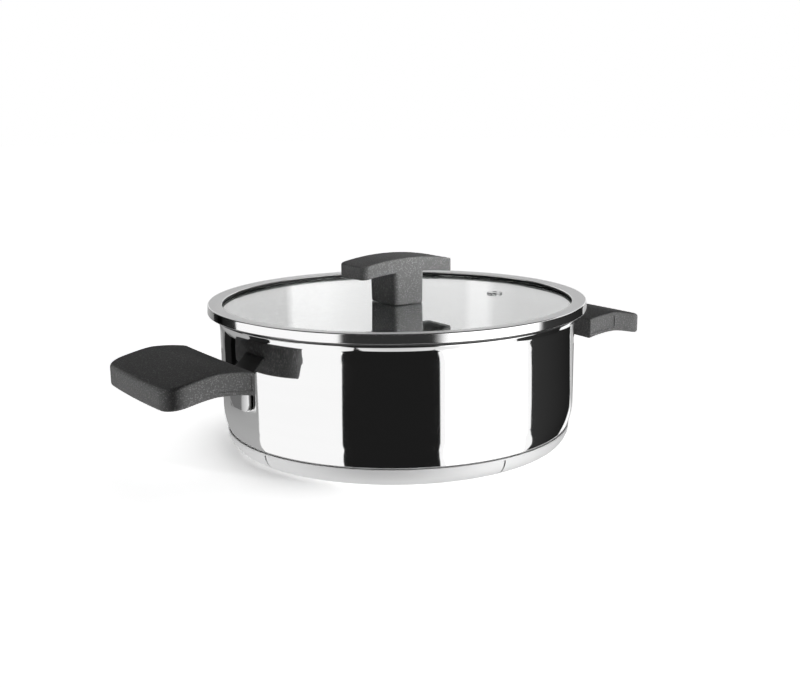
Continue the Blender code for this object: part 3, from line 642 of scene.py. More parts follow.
# %% [markdown]
# ## The pan
# The pan is drawn from one sheet. Its floor turns up through a tight corner and a long shallow
# curve into the straight wall, and the wall flares into a pouring lip. The solid's lip goes almost
# 3 mm further out and is rolled under. This one was fitted to the photograph, and its edge is only
# rounded.
# The curves are what a mirror finish shows off, because every reflection bends where they begin,
# so the profile gets many points there and none on the straight runs.

# %% Draw and turn the pan
POT_RADIUS = 0.1205
POT_HEIGHT = 0.0905
SHEET = 0.0008
CLEARANCE = 0.0003
FLARE = ((0.0783, 0.0), (0.0833, 5.0), (0.0855, 10.0),  # height, and lean in degrees
         (0.0865, 28.0), (0.0871, 34.0), (0.0895, 35.0))
HEEL_HEIGHT = 0.0300
SEAM_HEIGHT = 0.0131
SEAM_INSET = 0.0034
FLOOR_HEIGHT = 0.0072
ROUND_STEPS = 288


def heel_curve(inset, steps):
    """The wall's long lower curve and the corner into the floor, from top to bottom."""
    height = HEEL_HEIGHT - SEAM_HEIGHT
    big = (height ** 2 + SEAM_INSET ** 2) / (2 * SEAM_INSET)
    tilt = math.degrees(math.asin(height / big))
    small = (SEAM_HEIGHT - FLOOR_HEIGHT) / (1 - math.sin(math.radians(tilt)))
    corner = (POT_RADIUS - SEAM_INSET - small * math.cos(math.radians(tilt)), FLOOR_HEIGHT + small)
    upper = arc((POT_RADIUS - big, HEEL_HEIGHT), big - inset, 0.0, -tilt, steps)
    return upper + arc(corner, small - inset, -tilt, -90.0, steps)[1:]


def flare_curve(steps=8):
    """The outside of the flare as radius, height and lean: it follows the leans given above."""
    radius, curve = POT_RADIUS, []
    for (low, first), (high, last) in zip(FLARE, FLARE[1:]):
        for step in range(steps):
            share = (step + 0.5) / steps
            height, lean = low + (high - low) * step / steps, first + (last - first) * share
            curve.append((radius, height, lean))
            radius += (high - low) / steps * math.tan(math.radians(lean))
    return curve + [(radius, FLARE[-1][0], FLARE[-1][1])]


def pan_profile():
    """From the axis over the floor, up the inside, round the lip and down the outside."""
    floor_rings = (0.0, 0.01, 0.03, 0.05, 0.07, 0.09)
    profile = [(radius, FLOOR_HEIGHT + SHEET) for radius in floor_rings]
    profile += reversed(heel_curve(SHEET, 14))
    outside = flare_curve()
    for radius, height, lean in outside:
        tilt = math.radians(lean)
        profile.append((radius - SHEET * math.cos(tilt), height + SHEET * math.sin(tilt)))
    radius, height, lean = outside[-1]
    tilt = math.radians(lean)
    middle = (radius - SHEET / 2 * math.cos(tilt), height + SHEET / 2 * math.sin(tilt))
    profile += arc(middle, SHEET / 2, 180.0 - lean, -lean, 8)[1:]
    profile += [(radius, height) for radius, height, lean in reversed(outside[:-1])]
    profile += heel_curve(0.0, 18)
    return profile + [(radius, FLOOR_HEIGHT) for radius in reversed(floor_rings)]


pan_shell = turned("pan_shell", pan_profile(), mirror_steel, ROUND_STEPS)

# %% [markdown]
# The inside is brushed, not polished, and its steel is written darker than steel is, as painted
# shade. Rather than make it a second piece, its faces get a second material: they are the ones
# that look towards the axis, and the floor.

# %% Brush the inside of the pan
def is_inside(face):
    centre, normal = face.center, face.normal
    reach = math.hypot(centre.x, centre.y)
    inwards = (centre.x * normal.x + centre.y * normal.y) / max(reach, 0.001)
    below_lip = centre.z < POT_HEIGHT - 0.003
    return below_lip and (inwards < -0.2 or (normal.z > 0.3 and reach < POT_RADIUS))


pan_shell.data.materials.append(inside_steel_with_painted_shade)
for face in pan_shell.data.polygons:
    face.material_index = 1 if is_inside(face) else 0
seat(pan_shell, "pan", "polished_steel", "pot_body")

# %% [markdown]
# ## The base
# A steel cap is pressed over an aluminium disc under the floor. Its side is a quarter of an oval,
# brushed while it turned, with four slits that let the cap give as it heats. Two shallow grooves
# ring the underside. The cap is turned first, and the slits are cut by the second tree.

# %% Turn and slit the base
CAP_SHEET = 0.0008
CAP_FOOT = 0.1050
CAP_EDGE = 0.0002
GROOVES = ((0.074, 0.0016), (0.040, 0.0016))
GROOVE_DEPTH = 0.0004
SLIT = (0.0156, 0.0012, 0.0087)
SLIT_MIDDLE = 0.00775
FIRST_SLIT = math.radians(10.0)
NEXT_SLIT = math.radians(79.4)


def cap_profile():
    rim = POT_RADIUS - SEAM_INSET + CLEARANCE + CAP_SHEET
    middle = (CAP_FOOT, SEAM_HEIGHT)
    outer = (rim - CAP_FOOT, SEAM_HEIGHT)
    inner = (outer[0] - CAP_SHEET, outer[1] - CAP_SHEET)
    top = SEAM_HEIGHT - CAP_EDGE
    profile = [(0.0, CAP_SHEET), (0.05, CAP_SHEET)]
    profile += oval_arc(middle, inner, -90.0, -2.0, 20)
    profile += arc((rim - CAP_SHEET + CAP_EDGE, top), CAP_EDGE, 180.0, 90.0, 3)
    profile += arc((rim - CAP_EDGE, top), CAP_EDGE, 90.0, 0.0, 3)
    profile += oval_arc(middle, outer, -2.0, -90.0, 28)
    for radius, width in GROOVES:
        profile += [(radius + width * 0.7, 0.0), (radius + width * 0.5, GROOVE_DEPTH * 0.25)]
        profile += [(radius + width * 0.2, GROOVE_DEPTH), (radius - width * 0.2, GROOVE_DEPTH)]
        profile += [(radius - width * 0.5, GROOVE_DEPTH * 0.25), (radius - width * 0.7, 0.0)]
    return profile + [(0.02, 0.0), (0.0, 0.0)]


base_shell = turned("base_shell", cap_profile(), satin_steel, ROUND_STEPS)
slit_out = CAP_FOOT + SLIT[0] / 2
run_tree(base_shell, cut_blocks, Block=SLIT, Out=slit_out, Centre=(0.0, 0.0, SLIT_MIDDLE), Count=4,
         First_Angle=FIRST_SLIT, Second_Angle=NEXT_SLIT, Material=satin_steel)
tidy(base_shell.data)
seat(base_shell, "pan", "satin_steel", "base_cap")

# %% [markdown]
# ## The handle straps
# Each grip hangs on a bent steel strap. Its flat leg is welded to the wall along its middle, its
# arm rises away from the wall, and its tang runs into the grip. A row-by-row sheet is laid along
# that path, thickened with Solidify, and its edges are broken with a Bevel. The leg bows by a
# sixth of a millimetre, as pressed sheet does. The sheared edges of its leg are duller,
# the edges of its arm are polished, and the strap's upper faces that look towards the wall or up
# get a near-black steel, which is painted shade.

# %% Bend the straps
STRAP_WIDTH = 0.0260
STRAP_SHEET = 0.0018
STRAP_DROP = 0.0316
STRAP_CORNER = 0.0058
STRAP_BEND = 0.0040
STRAP_RISE = 0.0065
TANG_LENGTH = 0.0230
TANG_HEIGHT = 0.0703
LEG_BULGE = 0.25
GRIP_ROOT = 0.1350
SCREW_AT = 0.1485
SCREW_BORE = 0.0023
WASHER_SEAT = 0.0672
STRAP_EDGE = 0.00035
PAINTED_SHADE_FROM = 0.055
SHEARED_TO = 0.062


def filleted(corners, radius, steps):
    """A path of straight runs whose inner corners are rounded."""
    path = [Vector(corners[0])]
    for before, corner, after in zip(corners, corners[1:], corners[2:]):
        corner = Vector(corner)
        back = (Vector(before) - corner).normalized()
        ahead = (Vector(after) - corner).normalized()
        half = back.angle(ahead) / 2
        middle = corner + (back + ahead).normalized() * radius / math.sin(half)
        first = corner + back * radius / math.tan(half) - middle
        side = math.copysign(1.0, back.x * ahead.y - back.y * ahead.x)
        for step in range(steps + 1):
            turn = Matrix.Rotation(-side * (math.pi - 2 * half) * step / steps, 2)
            path.append(middle + turn @ first)
    return path + [Vector(corners[-1])]


def strap_sheet(columns=24):
    """The strap's middle sheet, from its rounded foot to the end of its tang."""
    inner = POT_RADIUS + CLEARANCE + STRAP_SHEET / 2
    foot = TANG_HEIGHT - STRAP_DROP
    arm_end = GRIP_ROOT - STRAP_SHEET
    corners = [(inner, foot), (inner, TANG_HEIGHT - STRAP_RISE), (arm_end, TANG_HEIGHT),
               (GRIP_ROOT + TANG_LENGTH, TANG_HEIGHT)]
    half = STRAP_WIDTH / 2
    rows = [(inner, foot + drop, half - STRAP_CORNER + narrow)
            for narrow, drop in arc((0.0, STRAP_CORNER), STRAP_CORNER, -90.0, 0.0, 10)]
    rows += [(point.x, point.y, half) for point in filleted(corners, STRAP_BEND, 10)[1:]]
    mesh = bpy.data.meshes.new("strap")
    work = bmesh.new()
    grid = []
    for x, z, half_width in rows:
        hold = min(max((arm_end - x) / (arm_end - inner), 0.0), 1.0)
        line = []
        for column in range(columns + 1):
            y = half_width * (2.0 * column / columns - 1.0)
            sag = inner - math.sqrt(inner ** 2 - y ** 2)
            line.append(work.verts.new((x - sag * hold * LEG_BULGE, y, z)))
        grid.append(line)
    for lower, upper in zip(grid, grid[1:]):
        for left in range(columns):
            work.faces.new((lower[left], lower[left + 1], upper[left + 1], upper[left]))
    bmesh.ops.recalc_face_normals(work, faces=work.faces)
    work.to_mesh(mesh)
    work.free()
    return mesh


def soften(thing, width, segments, angle):
    """Round the edges of a piece that are sharper than an angle."""
    bevel = thing.modifiers.new("Edges", "BEVEL")
    bevel.width = width
    bevel.segments = segments
    bevel.limit_method = "ANGLE"
    bevel.angle_limit = math.radians(angle)
    bevel.use_clamp_overlap = True


def cut(thing, cutter, operation="DIFFERENCE"):
    """Cut with a mesh object, keep the result, and throw the cutter away."""
    step = thing.modifiers.new(cutter.name, "BOOLEAN")
    step.operation = operation
    step.object = cutter
    step.solver = "EXACT"
    plain_mesh(thing)
    bpy.data.objects.remove(cutter, do_unlink=True)


def drill(thing, radius, bottom, top, place, material, steps=32):
    """Drill a round hole along Z."""
    rod = [(0.0, top), (radius, top), (radius, bottom), (0.0, bottom)]
    cut(thing, turned("drill", rod, material, steps, place))


def build_strap(side, turn):
    strap = new_piece("strap_" + side, strap_sheet())
    strap.data.materials.append(strap_steel)
    shell = strap.modifiers.new("Sheet", "SOLIDIFY")
    shell.thickness = STRAP_SHEET
    shell.offset = 0.0
    shell.use_even_offset = True
    plain_mesh(strap)
    soften(strap, STRAP_EDGE, 3, 50.0)
    plain_mesh(strap)
    drill(strap, SCREW_BORE, 0.060, 0.080, (SCREW_AT, 0.0, 0.0), strap_steel)
    strap.data.materials.append(sheared_steel)
    strap.data.materials.append(painted_shade_steel)
    for face in strap.data.polygons:
        height, normal = face.center.z, face.normal
        # Upper faces that look towards the wall or up are painted dark, as shade.
        painted_shade = height > PAINTED_SHADE_FROM and (normal.x < -0.2 or normal.z > 0.2)
        sheared = height <= SHEARED_TO and abs(normal.y) > 0.75
        face.material_index = 1 if sheared else 2 if painted_shade else 0
    strap.data.transform(Matrix.Rotation(turn, 4, "Z"))
    tidy(strap.data)
    seat(strap, "pan", "polished_steel", "bracket_" + side)


SIDES = (("right", 0.0), ("left", math.pi))
for side, turn in SIDES:
    build_strap(side, turn)

# %% [markdown]
# ## The grips
# Each grip is a slab of phenolic. Seen from the side it rises a little from its root and then
# falls away in an S, and seen from above it has a bowed end with rounded corners and a slightly
# hollow root. The plan is drawn here, and so is how high each place on the grip stands. The next
# cell lofts the slab from the two, with the mould's soft edges. Then a shallow panel is set into
# each side, and the slot and the screw's well are cut last.

# %% Draw the grip
GRIP_TOP = 0.0740
GRIP_WIDTH = 0.0972
GRIP_REACH = 0.0578
GRIP_THICKNESS = 0.0141
CREST_AT = 0.0250
CREST = 0.0027
DROP = 0.0031
FALL_SHARES = (0.45, 1.45, -0.90)
GRIP_CORNER = 0.0130
END_BOW = 0.0018
ROOT_HOLLOW = 0.0011
ROOT_CORNER = 0.0016
EDGE_AT_ROOT = 0.0011
EDGE_AT_END = 0.0022
PANEL_MARGIN = 0.0026
PANEL_LENGTH = 0.0225
PANEL_DEPTH = 0.00035
SPINE_INSET = 0.024
SLOT_HALF = 0.0012
WELL_RADIUS = 0.0049


def grip_rise(reach):
    """How far the grip stands above its root at a distance from the root."""
    if reach < CREST_AT:
        share = reach / CREST_AT
        return CREST * share * (2.0 - share)
    share = min((reach - CREST_AT) / (GRIP_REACH - CREST_AT), 1.0)
    fallen = sum(part * share ** power for power, part in enumerate(FALL_SHARES, start=1))
    return CREST - (CREST + DROP) * fallen


def grip_top(x):
    return GRIP_TOP + grip_rise(max(x - GRIP_ROOT, 0.0))


def grip_bottom(x):
    return grip_top(x) - GRIP_THICKNESS


def grip_edge(x):
    """How round the grip's edges are: crisper at the root, softer at the end."""
    share = min(max((x - GRIP_ROOT - CREST_AT) / (GRIP_REACH - CREST_AT), 0.0), 1.0)
    return EDGE_AT_ROOT + (EDGE_AT_END - EDGE_AT_ROOT) * share


def grip_side_view(start, end, inset, steps):
    """The outline of a piece of the grip's side, set in from its top and bottom."""
    line = [GRIP_ROOT + start + (end - start) * index / steps for index in range(steps + 1)]
    top = [(x, grip_top(x) - inset) for x in line]
    return top + [(x, grip_bottom(x) + inset) for x in reversed(line)]


def grip_plan():
    """The grip seen from above, anticlockwise: bowed end, straight sides and hollow root."""
    half = GRIP_WIDTH / 2
    end = GRIP_ROOT + GRIP_REACH
    bow = (half ** 2 + END_BOW ** 2) / (2 * END_BOW)
    swing = math.asin((half - GRIP_CORNER) / (bow - GRIP_CORNER))
    corner_x = end - bow + (bow - GRIP_CORNER) * math.cos(swing)
    lean = math.degrees(swing)
    hollow = (half ** 2 + ROOT_HOLLOW ** 2) / (2 * ROOT_HOLLOW)
    spread = math.degrees(math.asin((half - ROOT_CORNER) / hollow))
    root_x = GRIP_ROOT + ROOT_CORNER
    plan = arc((corner_x, half - GRIP_CORNER), GRIP_CORNER, lean, 90.0, 14)
    plan += [(corner_x + (root_x - corner_x) * index / 20, half) for index in range(1, 20)]
    plan += arc((root_x, half - ROOT_CORNER), ROOT_CORNER, 90.0, 180.0, 6)
    plan += arc((GRIP_ROOT + ROOT_HOLLOW - hollow, 0.0), hollow, spread, -spread, 16)[1:-1]
    plan += arc((root_x, ROOT_CORNER - half), ROOT_CORNER, 180.0, 270.0, 6)
    plan += [(root_x + (corner_x - root_x) * index / 20, -half) for index in range(1, 20)]
    plan += arc((corner_x, GRIP_CORNER - half), GRIP_CORNER, -90.0, -lean, 14)
    return plan + arc((end - bow, 0.0), bow, -lean, lean, 16)[1:-1]


def upright_plate(name, outline, half_depth, material):
    """An outline of X and height, filled and thickened both ways along Y, as an object."""
    curve = bpy.data.curves.new(name, "CURVE")
    curve.dimensions = "2D"
    curve.fill_mode = "BOTH"
    curve.extrude = half_depth
    line = curve.splines.new("POLY")
    line.points.add(len(outline) - 1)
    for point, (x, y) in zip(line.points, outline):
        point.co = (x, y, 0.0, 1.0)
    line.use_cyclic_u = True
    holder = new_piece(name + "_outline", curve)
    ready = holder.evaluated_get(bpy.context.evaluated_depsgraph_get())
    thing = new_piece(name, bpy.data.meshes.new_from_object(ready))
    bpy.data.objects.remove(holder, do_unlink=True)
    only_material(thing.data, material)
    tidy(thing.data)
    thing.data.transform(Matrix.Rotation(math.radians(90.0), 4, "X"))
    return thing


# %% [markdown]
# A slab with rounded edges is built ring by ring. One ring of points follows the plan. It starts
# on the slab's middle line below, widens to the rim, rounds it, climbs the side, rounds the upper
# rim and closes again on the middle line above. The height of each point comes from where it lies
# along the slab, so the whole surface bends in the S. A bevel after a cut would do for a box, but
# here it would trip over the slivers that a cut leaves along a curved rim.

# %% Loft a rounded slab
def outward(outline):
    """The outward direction at each point of an anticlockwise outline."""
    directions = []
    for index, point in enumerate(outline):
        after = outline[(index + 1) % len(outline)]
        before = outline[index - 1]
        directions.append(Vector((after[1] - before[1], before[0] - after[0])).normalized())
    return directions


def lofted(name, rows, material):
    """A closed piece from rows of equally many points, whose first and last rows close up."""
    mesh = bpy.data.meshes.new(name)
    work = bmesh.new()
    grid = [[work.verts.new(point) for point in row] for row in rows]
    for lower, upper in zip(grid, grid[1:]):
        for index in range(len(lower)):
            nxt = (index + 1) % len(lower)
            work.faces.new((lower[index], lower[nxt], upper[nxt], upper[index]))
    work.to_mesh(mesh)
    work.free()
    thing = new_piece(name, mesh)
    only_material(mesh, material)
    tidy(mesh, SHARP_ON_MOULDED)
    return thing


def rim_rows(rings=6, cap_rings=8, support=0.0004):
    """Rows from the middle line to the side: pull to the middle, inset and lift in edge radii,
    and their constant parts."""
    rows = [(1.0 - index / cap_rings, 1.0, support, 0.0, 0.0) for index in range(cap_rings + 1)]
    for index in range(rings + 1):
        turn = math.pi / 2 * index / rings
        rows.append((0.0, 1.0 - math.sin(turn), 0.0, 1.0 - math.cos(turn), 0.0))
    return rows + [(0.0, 0.0, 0.0, 1.0, support)]


def rounded_slab(name, outline, spine, top, bottom, edge, material):
    """A slab over a plan, with its top, bottom and edge radius given along X."""
    directions = outward(outline)
    rows = []
    for surface, sign, order in ((bottom, 1.0, 1), (top, -1.0, -1)):
        for pull, inset, inset_extra, lift, lift_extra in rim_rows()[::order]:
            row = []
            for (x, y), direction in zip(outline, directions):
                radius = edge(x)
                spot = Vector((x, y)) - direction * (inset * radius + inset_extra)
                middle = Vector((min(max(spot.x, spine[0]), spine[1]), 0.0))
                spot = spot.lerp(middle, pull)
                row.append((spot.x, spot.y, surface(spot.x) + sign * (lift * radius + lift_extra)))
            rows.append(row)
    return lofted(name, rows, material)


# %% Mould the grips
def build_grip(side, turn):
    spine = (GRIP_ROOT + SPINE_INSET, GRIP_ROOT + GRIP_REACH - SPINE_INSET)
    grip = rounded_slab("handgrip_" + side, grip_plan(), spine, grip_top, grip_bottom, grip_edge,
                        phenolic)
    panel_view = grip_side_view(PANEL_MARGIN, PANEL_MARGIN + PANEL_LENGTH, PANEL_MARGIN, 16)
    for sign in (1.0, -1.0):
        panel = upright_plate("panel", panel_view, PANEL_DEPTH * 2, phenolic)
        shift = sign * (GRIP_WIDTH / 2 + PANEL_DEPTH)
        panel.data.transform(Matrix.Translation((0.0, shift, 0.0)))
        cut(grip, panel)
    low, high = TANG_HEIGHT - SLOT_HALF, TANG_HEIGHT + SLOT_HALF
    mouth, back = GRIP_ROOT - 0.01, GRIP_ROOT + TANG_LENGTH + CLEARANCE
    slot_view = [(mouth, low), (back, low), (back, high), (mouth, high)]
    cut(grip, upright_plate("slot", slot_view, STRAP_WIDTH / 2 + CLEARANCE, phenolic))
    drill(grip, SCREW_BORE, 0.060, high + 0.0012, (SCREW_AT, 0.0, 0.0), phenolic)
    drill(grip, WELL_RADIUS, 0.040, WASHER_SEAT + CLEARANCE, (SCREW_AT, 0.0, 0.0), phenolic, 48)
    grip.data.transform(Matrix.Rotation(turn, 4, "Z"))
    tidy(grip.data, SHARP_ON_MOULDED)
    seat(grip, "pan", "phenolic", "grip_" + side)


for side, turn in SIDES:
    build_grip(side, turn)

# %% [markdown]
# ## The screws and washers under the grips
# A cross-headed screw holds each grip to its tang from below. Heads, washers and shanks are
# turned from short profiles, and the cross is cut by the second tree with two blocks.

# %% Turn the grips' screws
def screw(name, shank, tip, head, head_top, head_height, place, material):
    """A screw that points up, with a domed head below and a cross cut into it."""
    bottom = head_top - head_height
    dome = head_height * 0.55
    rim = head - 0.00025
    profile = [(0.0, tip), (shank * 0.8, tip), (shank, tip - shank * 0.3), (shank, head_top)]
    profile += [(rim, head_top), (head, head_top - 0.00025)]
    profile += oval_arc((0.0, bottom + dome), (head, dome), 0.0, -90.0, 12)
    profile[-1] = (0.0, bottom)
    thing = turned(name, profile, material, 64, place)
    block = (head * 1.1, head * 0.26, head * 0.6)
    centre = (place[0], place[1], bottom)
    run_tree(thing, cut_blocks, Block=block, Out=0.0, Centre=centre, Count=2, First_Angle=0.0,
             Second_Angle=math.pi / 2, Material=material)
    tidy(thing.data, SHARP_ON_MOULDED)
    return thing


def washer(name, outer, inner, bottom, top, place, material, edge=0.00015):
    """A flat ring with broken edges."""
    profile = [(inner, top), (outer - edge, top), (outer, top - edge), (outer, bottom + edge)]
    profile += [(outer - edge, bottom), (inner, bottom), (inner, top)]
    return turned(name, profile, material, 72, place)


for side, turn in SIDES:
    place = Matrix.Rotation(turn, 3, "Z") @ Vector((SCREW_AT, 0.0, 0.0))
    ring = washer("handle_washer_" + side, 0.0046, SCREW_BORE, WASHER_SEAT - 0.001, WASHER_SEAT,
                  place, bright_steel)
    seat(ring, "pan", "bright_steel", "grip_washer_" + side)
    pin = screw("handle_screw_" + side, 0.0020, TANG_HEIGHT + 0.002, 0.0040, WASHER_SEAT - 0.0013,
                0.0024, place, bright_steel)
    seat(pin, "pan", "bright_steel", "grip_screw_" + side)

# %% [markdown]
# ## The lid's ring
# One strip of steel is folded round the glass: a flange that falls gently inwards to the glass, a
# rounded outer side, a seat that rests on the pan's lip, and a skirt that hangs inside it. The
# side is polished like the pan and the flange is satin, so the turned piece again gets a second
# material for the faces that look up. A third one, dark and dull, is painted shade: it goes on the
# underside faces between the seat and the ring's lower edge, above the pan's lip.

# %% Fold the ring
RING_RADIUS = 0.1284
RING_INNER = 0.1184
RING_TOP = 0.0985
RING_FALL = 0.0006
RING_SHEET = 0.0007
RING_EDGE = 0.0009
RING_BOTTOM = 0.0925
RING_CURL = 0.0006
RING_SEAT = 0.0908
RING_SEAT_EDGE = 0.1250
RING_LEAN = 0.0004
SKIRT_RADIUS = 0.1187
SKIRT_BOTTOM = 0.0835
SKIRT_BEND = 0.0009


def ring_profile():
    """The folded strip's closed section, from the flange's inner edge round the outside."""
    top = (RING_RADIUS - RING_LEAN - RING_EDGE, RING_TOP - RING_EDGE)
    lip = RING_SHEET / 2
    rim = (RING_INNER + lip, RING_TOP - RING_FALL - lip)
    fold = (SKIRT_RADIUS + SKIRT_BEND, RING_SEAT - SKIRT_BEND)
    inner = RING_RADIUS - RING_SHEET
    profile = arc(rim, lip, 180.0, 96.0, 6)
    profile += arc(top, RING_EDGE, 90.0, 3.0, 12)
    profile += arc((RING_RADIUS - RING_CURL, RING_BOTTOM + RING_CURL), RING_CURL, 3.0, -90.0, 10)
    profile += [(RING_RADIUS - 2 * RING_CURL, RING_BOTTOM), (RING_SEAT_EDGE, RING_SEAT)]
    profile += arc(fold, SKIRT_BEND, 90.0, 180.0, 8)
    profile += arc((SKIRT_RADIUS - lip, SKIRT_BOTTOM + lip), lip, 0.0, -180.0, 8)
    profile += arc(fold, SKIRT_BEND + RING_SHEET, 180.0, 90.0, 8)
    profile += [(RING_SEAT_EDGE - RING_SHEET / 3, RING_SEAT + RING_SHEET)]
    profile += [(inner, RING_BOTTOM + RING_CURL + lip), (inner - RING_LEAN, RING_TOP - RING_EDGE)]
    profile += [(top[0], RING_TOP - RING_SHEET)]
    profile += arc(rim, lip, 264.0, 180.0, 6)
    return profile


lid_band = turned("lid_band", ring_profile(), edge_steel, ROUND_STEPS)
lid_band.data.materials.append(flange_steel)
lid_band.data.materials.append(painted_shade_steel)
for face in lid_band.data.polygons:
    height = face.center.z
    if height > RING_TOP - RING_FALL - 0.0005 and face.normal.z > 0.95:
        face.material_index = 1
    # Underside faces above the pan's lip are painted dark, as shade.
    elif RING_SEAT - 0.0002 < height < RING_BOTTOM + 0.0001 and face.normal.z < -0.3:
        face.material_index = 2
seat(lid_band, "lid", "satin_steel", "lid_ring")

# %% [markdown]
# ## Seal, glass and steam eyelet
# A soft seal fills the fold round the glass's edge, and shows as a dark band through the glass.
# The pane is flat, with its edges ground to a small bevel, a hole in the middle for the knob's
# screw and one for steam. The eyelet is riveted into the second hole from both sides.

# %% Make the seal, the pane and the eyelet
GLASS_RADIUS = 0.1232
GLASS_BOTTOM = 0.0918
GLASS_TOP = 0.0953
GROUND_EDGE = 0.0006
SCREW_HOLE = 0.0040
VENT_HOLE = 0.0039
VENT_REACH = 0.0747
VENT_BEARING = math.radians(-12.4)
VENT_PLACE = Vector((VENT_REACH * math.cos(VENT_BEARING), VENT_REACH * math.sin(VENT_BEARING), 0.0))


def seal_profile():
    outer = RING_RADIUS - RING_SHEET - CLEARANCE - RING_LEAN
    inner = GLASS_RADIUS + CLEARANCE
    lip_top = RING_TOP - RING_FALL - RING_SHEET - CLEARANCE
    lip_bottom = GLASS_TOP + CLEARANCE
    edge = RING_INNER + CLEARANCE
    nose = (lip_top - lip_bottom) / 2
    profile = arc((edge + nose, lip_bottom + nose), nose, 180.0, 90.0, 6)
    profile += [(outer, lip_top), (outer, RING_BOTTOM + 2 * RING_SHEET + CLEARANCE)]
    profile += [(inner + 0.0005, GLASS_BOTTOM), (inner, GLASS_BOTTOM), (inner, lip_bottom)]
    return profile + arc((edge + nose, lip_bottom + nose), nose, -90.0, -180.0, 6)


def pane_profile():
    bevel = GROUND_EDGE
    profile = [(SCREW_HOLE, GLASS_TOP), (GLASS_RADIUS - bevel, GLASS_TOP)]
    profile += [(GLASS_RADIUS, GLASS_TOP - bevel), (GLASS_RADIUS, GLASS_BOTTOM + bevel)]
    profile += [(GLASS_RADIUS - bevel, GLASS_BOTTOM), (SCREW_HOLE, GLASS_BOTTOM)]
    return profile + [(SCREW_HOLE, GLASS_TOP)]


def eyelet_profile():
    upper, lower = GLASS_TOP + CLEARANCE, GLASS_BOTTOM - CLEARANCE
    sheet, rim, tube, bore = 0.0008, 0.0055, 0.0036, 0.0017
    profile = arc((bore + sheet / 2, upper + sheet / 2), sheet / 2, 180.0, 90.0, 6)
    profile += arc((rim - sheet / 2, upper + sheet / 2), sheet / 2, 90.0, 0.0, 6)
    profile += [(rim, upper), (tube, upper), (tube, lower), (rim, lower)]
    profile += arc((rim - sheet / 2, lower - sheet / 2), sheet / 2, 0.0, -90.0, 6)
    profile += [(bore, lower - sheet), (bore, upper + sheet / 2)]
    return profile


glass_seal = turned("glass_seal", seal_profile(), silicone, ROUND_STEPS)
seat(glass_seal, "lid", "silicone", "ring_gasket")
glass_pane = turned("glass_pane", pane_profile(), glass, ROUND_STEPS)
drill(glass_pane, VENT_HOLE, 0.085, 0.105, VENT_PLACE, glass, 48)
tidy(glass_pane.data, math.radians(25.0))
seat(glass_pane, "lid", "glass", "lid_glass")
steam_eyelet = turned("steam_eyelet", eyelet_profile(), bright_steel, 72, VENT_PLACE)
seat(steam_eyelet, "lid", "bright_steel", "vent_eyelet")

# %% [markdown]
# ## The knob
# The knob is a T: an arched bar on a stem that widens a little upwards, both as deep as each
# other, with rounded upright corners. The bar is lofted as the grips are, and the stem is lofted
# with a fillet under the bar. The two are joined, a recess in the foot takes the pad, and a bore
# takes the brass insert.

# %% Mould the knob
KNOB_LENGTH = 0.0737
KNOB_DEPTH = 0.0310
KNOB_HEIGHT = 0.0316
KNOB_ARCH = 0.0040
KNOB_END = 0.0088
UNDER_ARCH = 0.0028
STEM_WIDTH = 0.0240
STEM_CORNER = 0.0038
STEM_TAPER = 0.04
STEM_OVERLAP = 0.0045
KNOB_CORNER = 0.0050
KNOB_FILLET = 0.0016
KNOB_EDGE = 0.0009
KNOB_FOOT = 0.0956
PAD_RECESS = (0.0081, 0.0969)
INSERT_BORE = (0.0048, 0.1102)
BAR_TOP = KNOB_FOOT + KNOB_HEIGHT
BAR_LOW = BAR_TOP - KNOB_ARCH - KNOB_END


def bar_top(x):
    half = KNOB_LENGTH / 2
    big = (half ** 2 + KNOB_ARCH ** 2) / (2 * KNOB_ARCH)
    return BAR_TOP - big + math.sqrt(big ** 2 - x ** 2)


def bar_bottom(x):
    half, stem = KNOB_LENGTH / 2, STEM_WIDTH / 2
    under = ((half ** 2 - stem ** 2) + UNDER_ARCH ** 2) / (2 * UNDER_ARCH)
    return BAR_LOW + UNDER_ARCH - (max(abs(x), stem) ** 2 - stem ** 2) / (2 * under)


def rounded_rectangle(half_x, half_y, corner, corner_steps, side_steps):
    """An anticlockwise rounded rectangle with extra points along its long sides."""
    inner_x, inner_y = half_x - corner, half_y - corner
    outline = []
    for sign, start in ((1.0, 0.0), (-1.0, 180.0)):
        outline += arc((sign * inner_x, sign * inner_y), corner, start, start + 90.0, corner_steps)
        outline += [(sign * inner_x * (1 - 2 * index / side_steps), sign * half_y)
                    for index in range(1, side_steps)]
        outline += arc((-sign * inner_x, sign * inner_y), corner, start + 90.0, start + 180.0,
                       corner_steps)
    return outline


def stem_rows(outline):
    """The stem from its foot up into the bar, a little wider above, with a fillet under the bar."""
    join = BAR_LOW + UNDER_ARCH
    foot = 0.0006
    levels = [(KNOB_FOOT, foot, 1.0 - index / 4, 0.0) for index in range(5)]
    for index in range(1, 5):
        turn = math.pi / 2 * index / 4
        levels.append((KNOB_FOOT + foot * (1 - math.cos(turn)), foot * (1 - math.sin(turn)),
                       0.0, 0.0))
    levels.append((join - KNOB_FILLET, 0.0, 0.0, 0.0))
    for index in range(1, 7):
        turn = math.pi / 2 * index / 6
        flare = KNOB_FILLET * (1 - math.cos(turn))
        levels.append((join - KNOB_FILLET * (1 - math.sin(turn)), 0.0, 0.0, flare))
    levels += [(join + STEM_OVERLAP, 0.0, index / 4, KNOB_FILLET) for index in range(5)]
    directions = outward(outline)
    rows = []
    for height, inset, pull, flare in levels:
        widen = 1.0 + STEM_TAPER * (height - KNOB_FOOT) / (join - KNOB_FOOT)
        row = []
        for (x, y), direction in zip(outline, directions):
            x, y = x - direction.x * inset, y - direction.y * inset
            x = x * widen + x / (STEM_WIDTH / 2) * flare
            row.append((x * (1 - pull), y * (1 - pull), height))
        rows.append(row)
    return rows


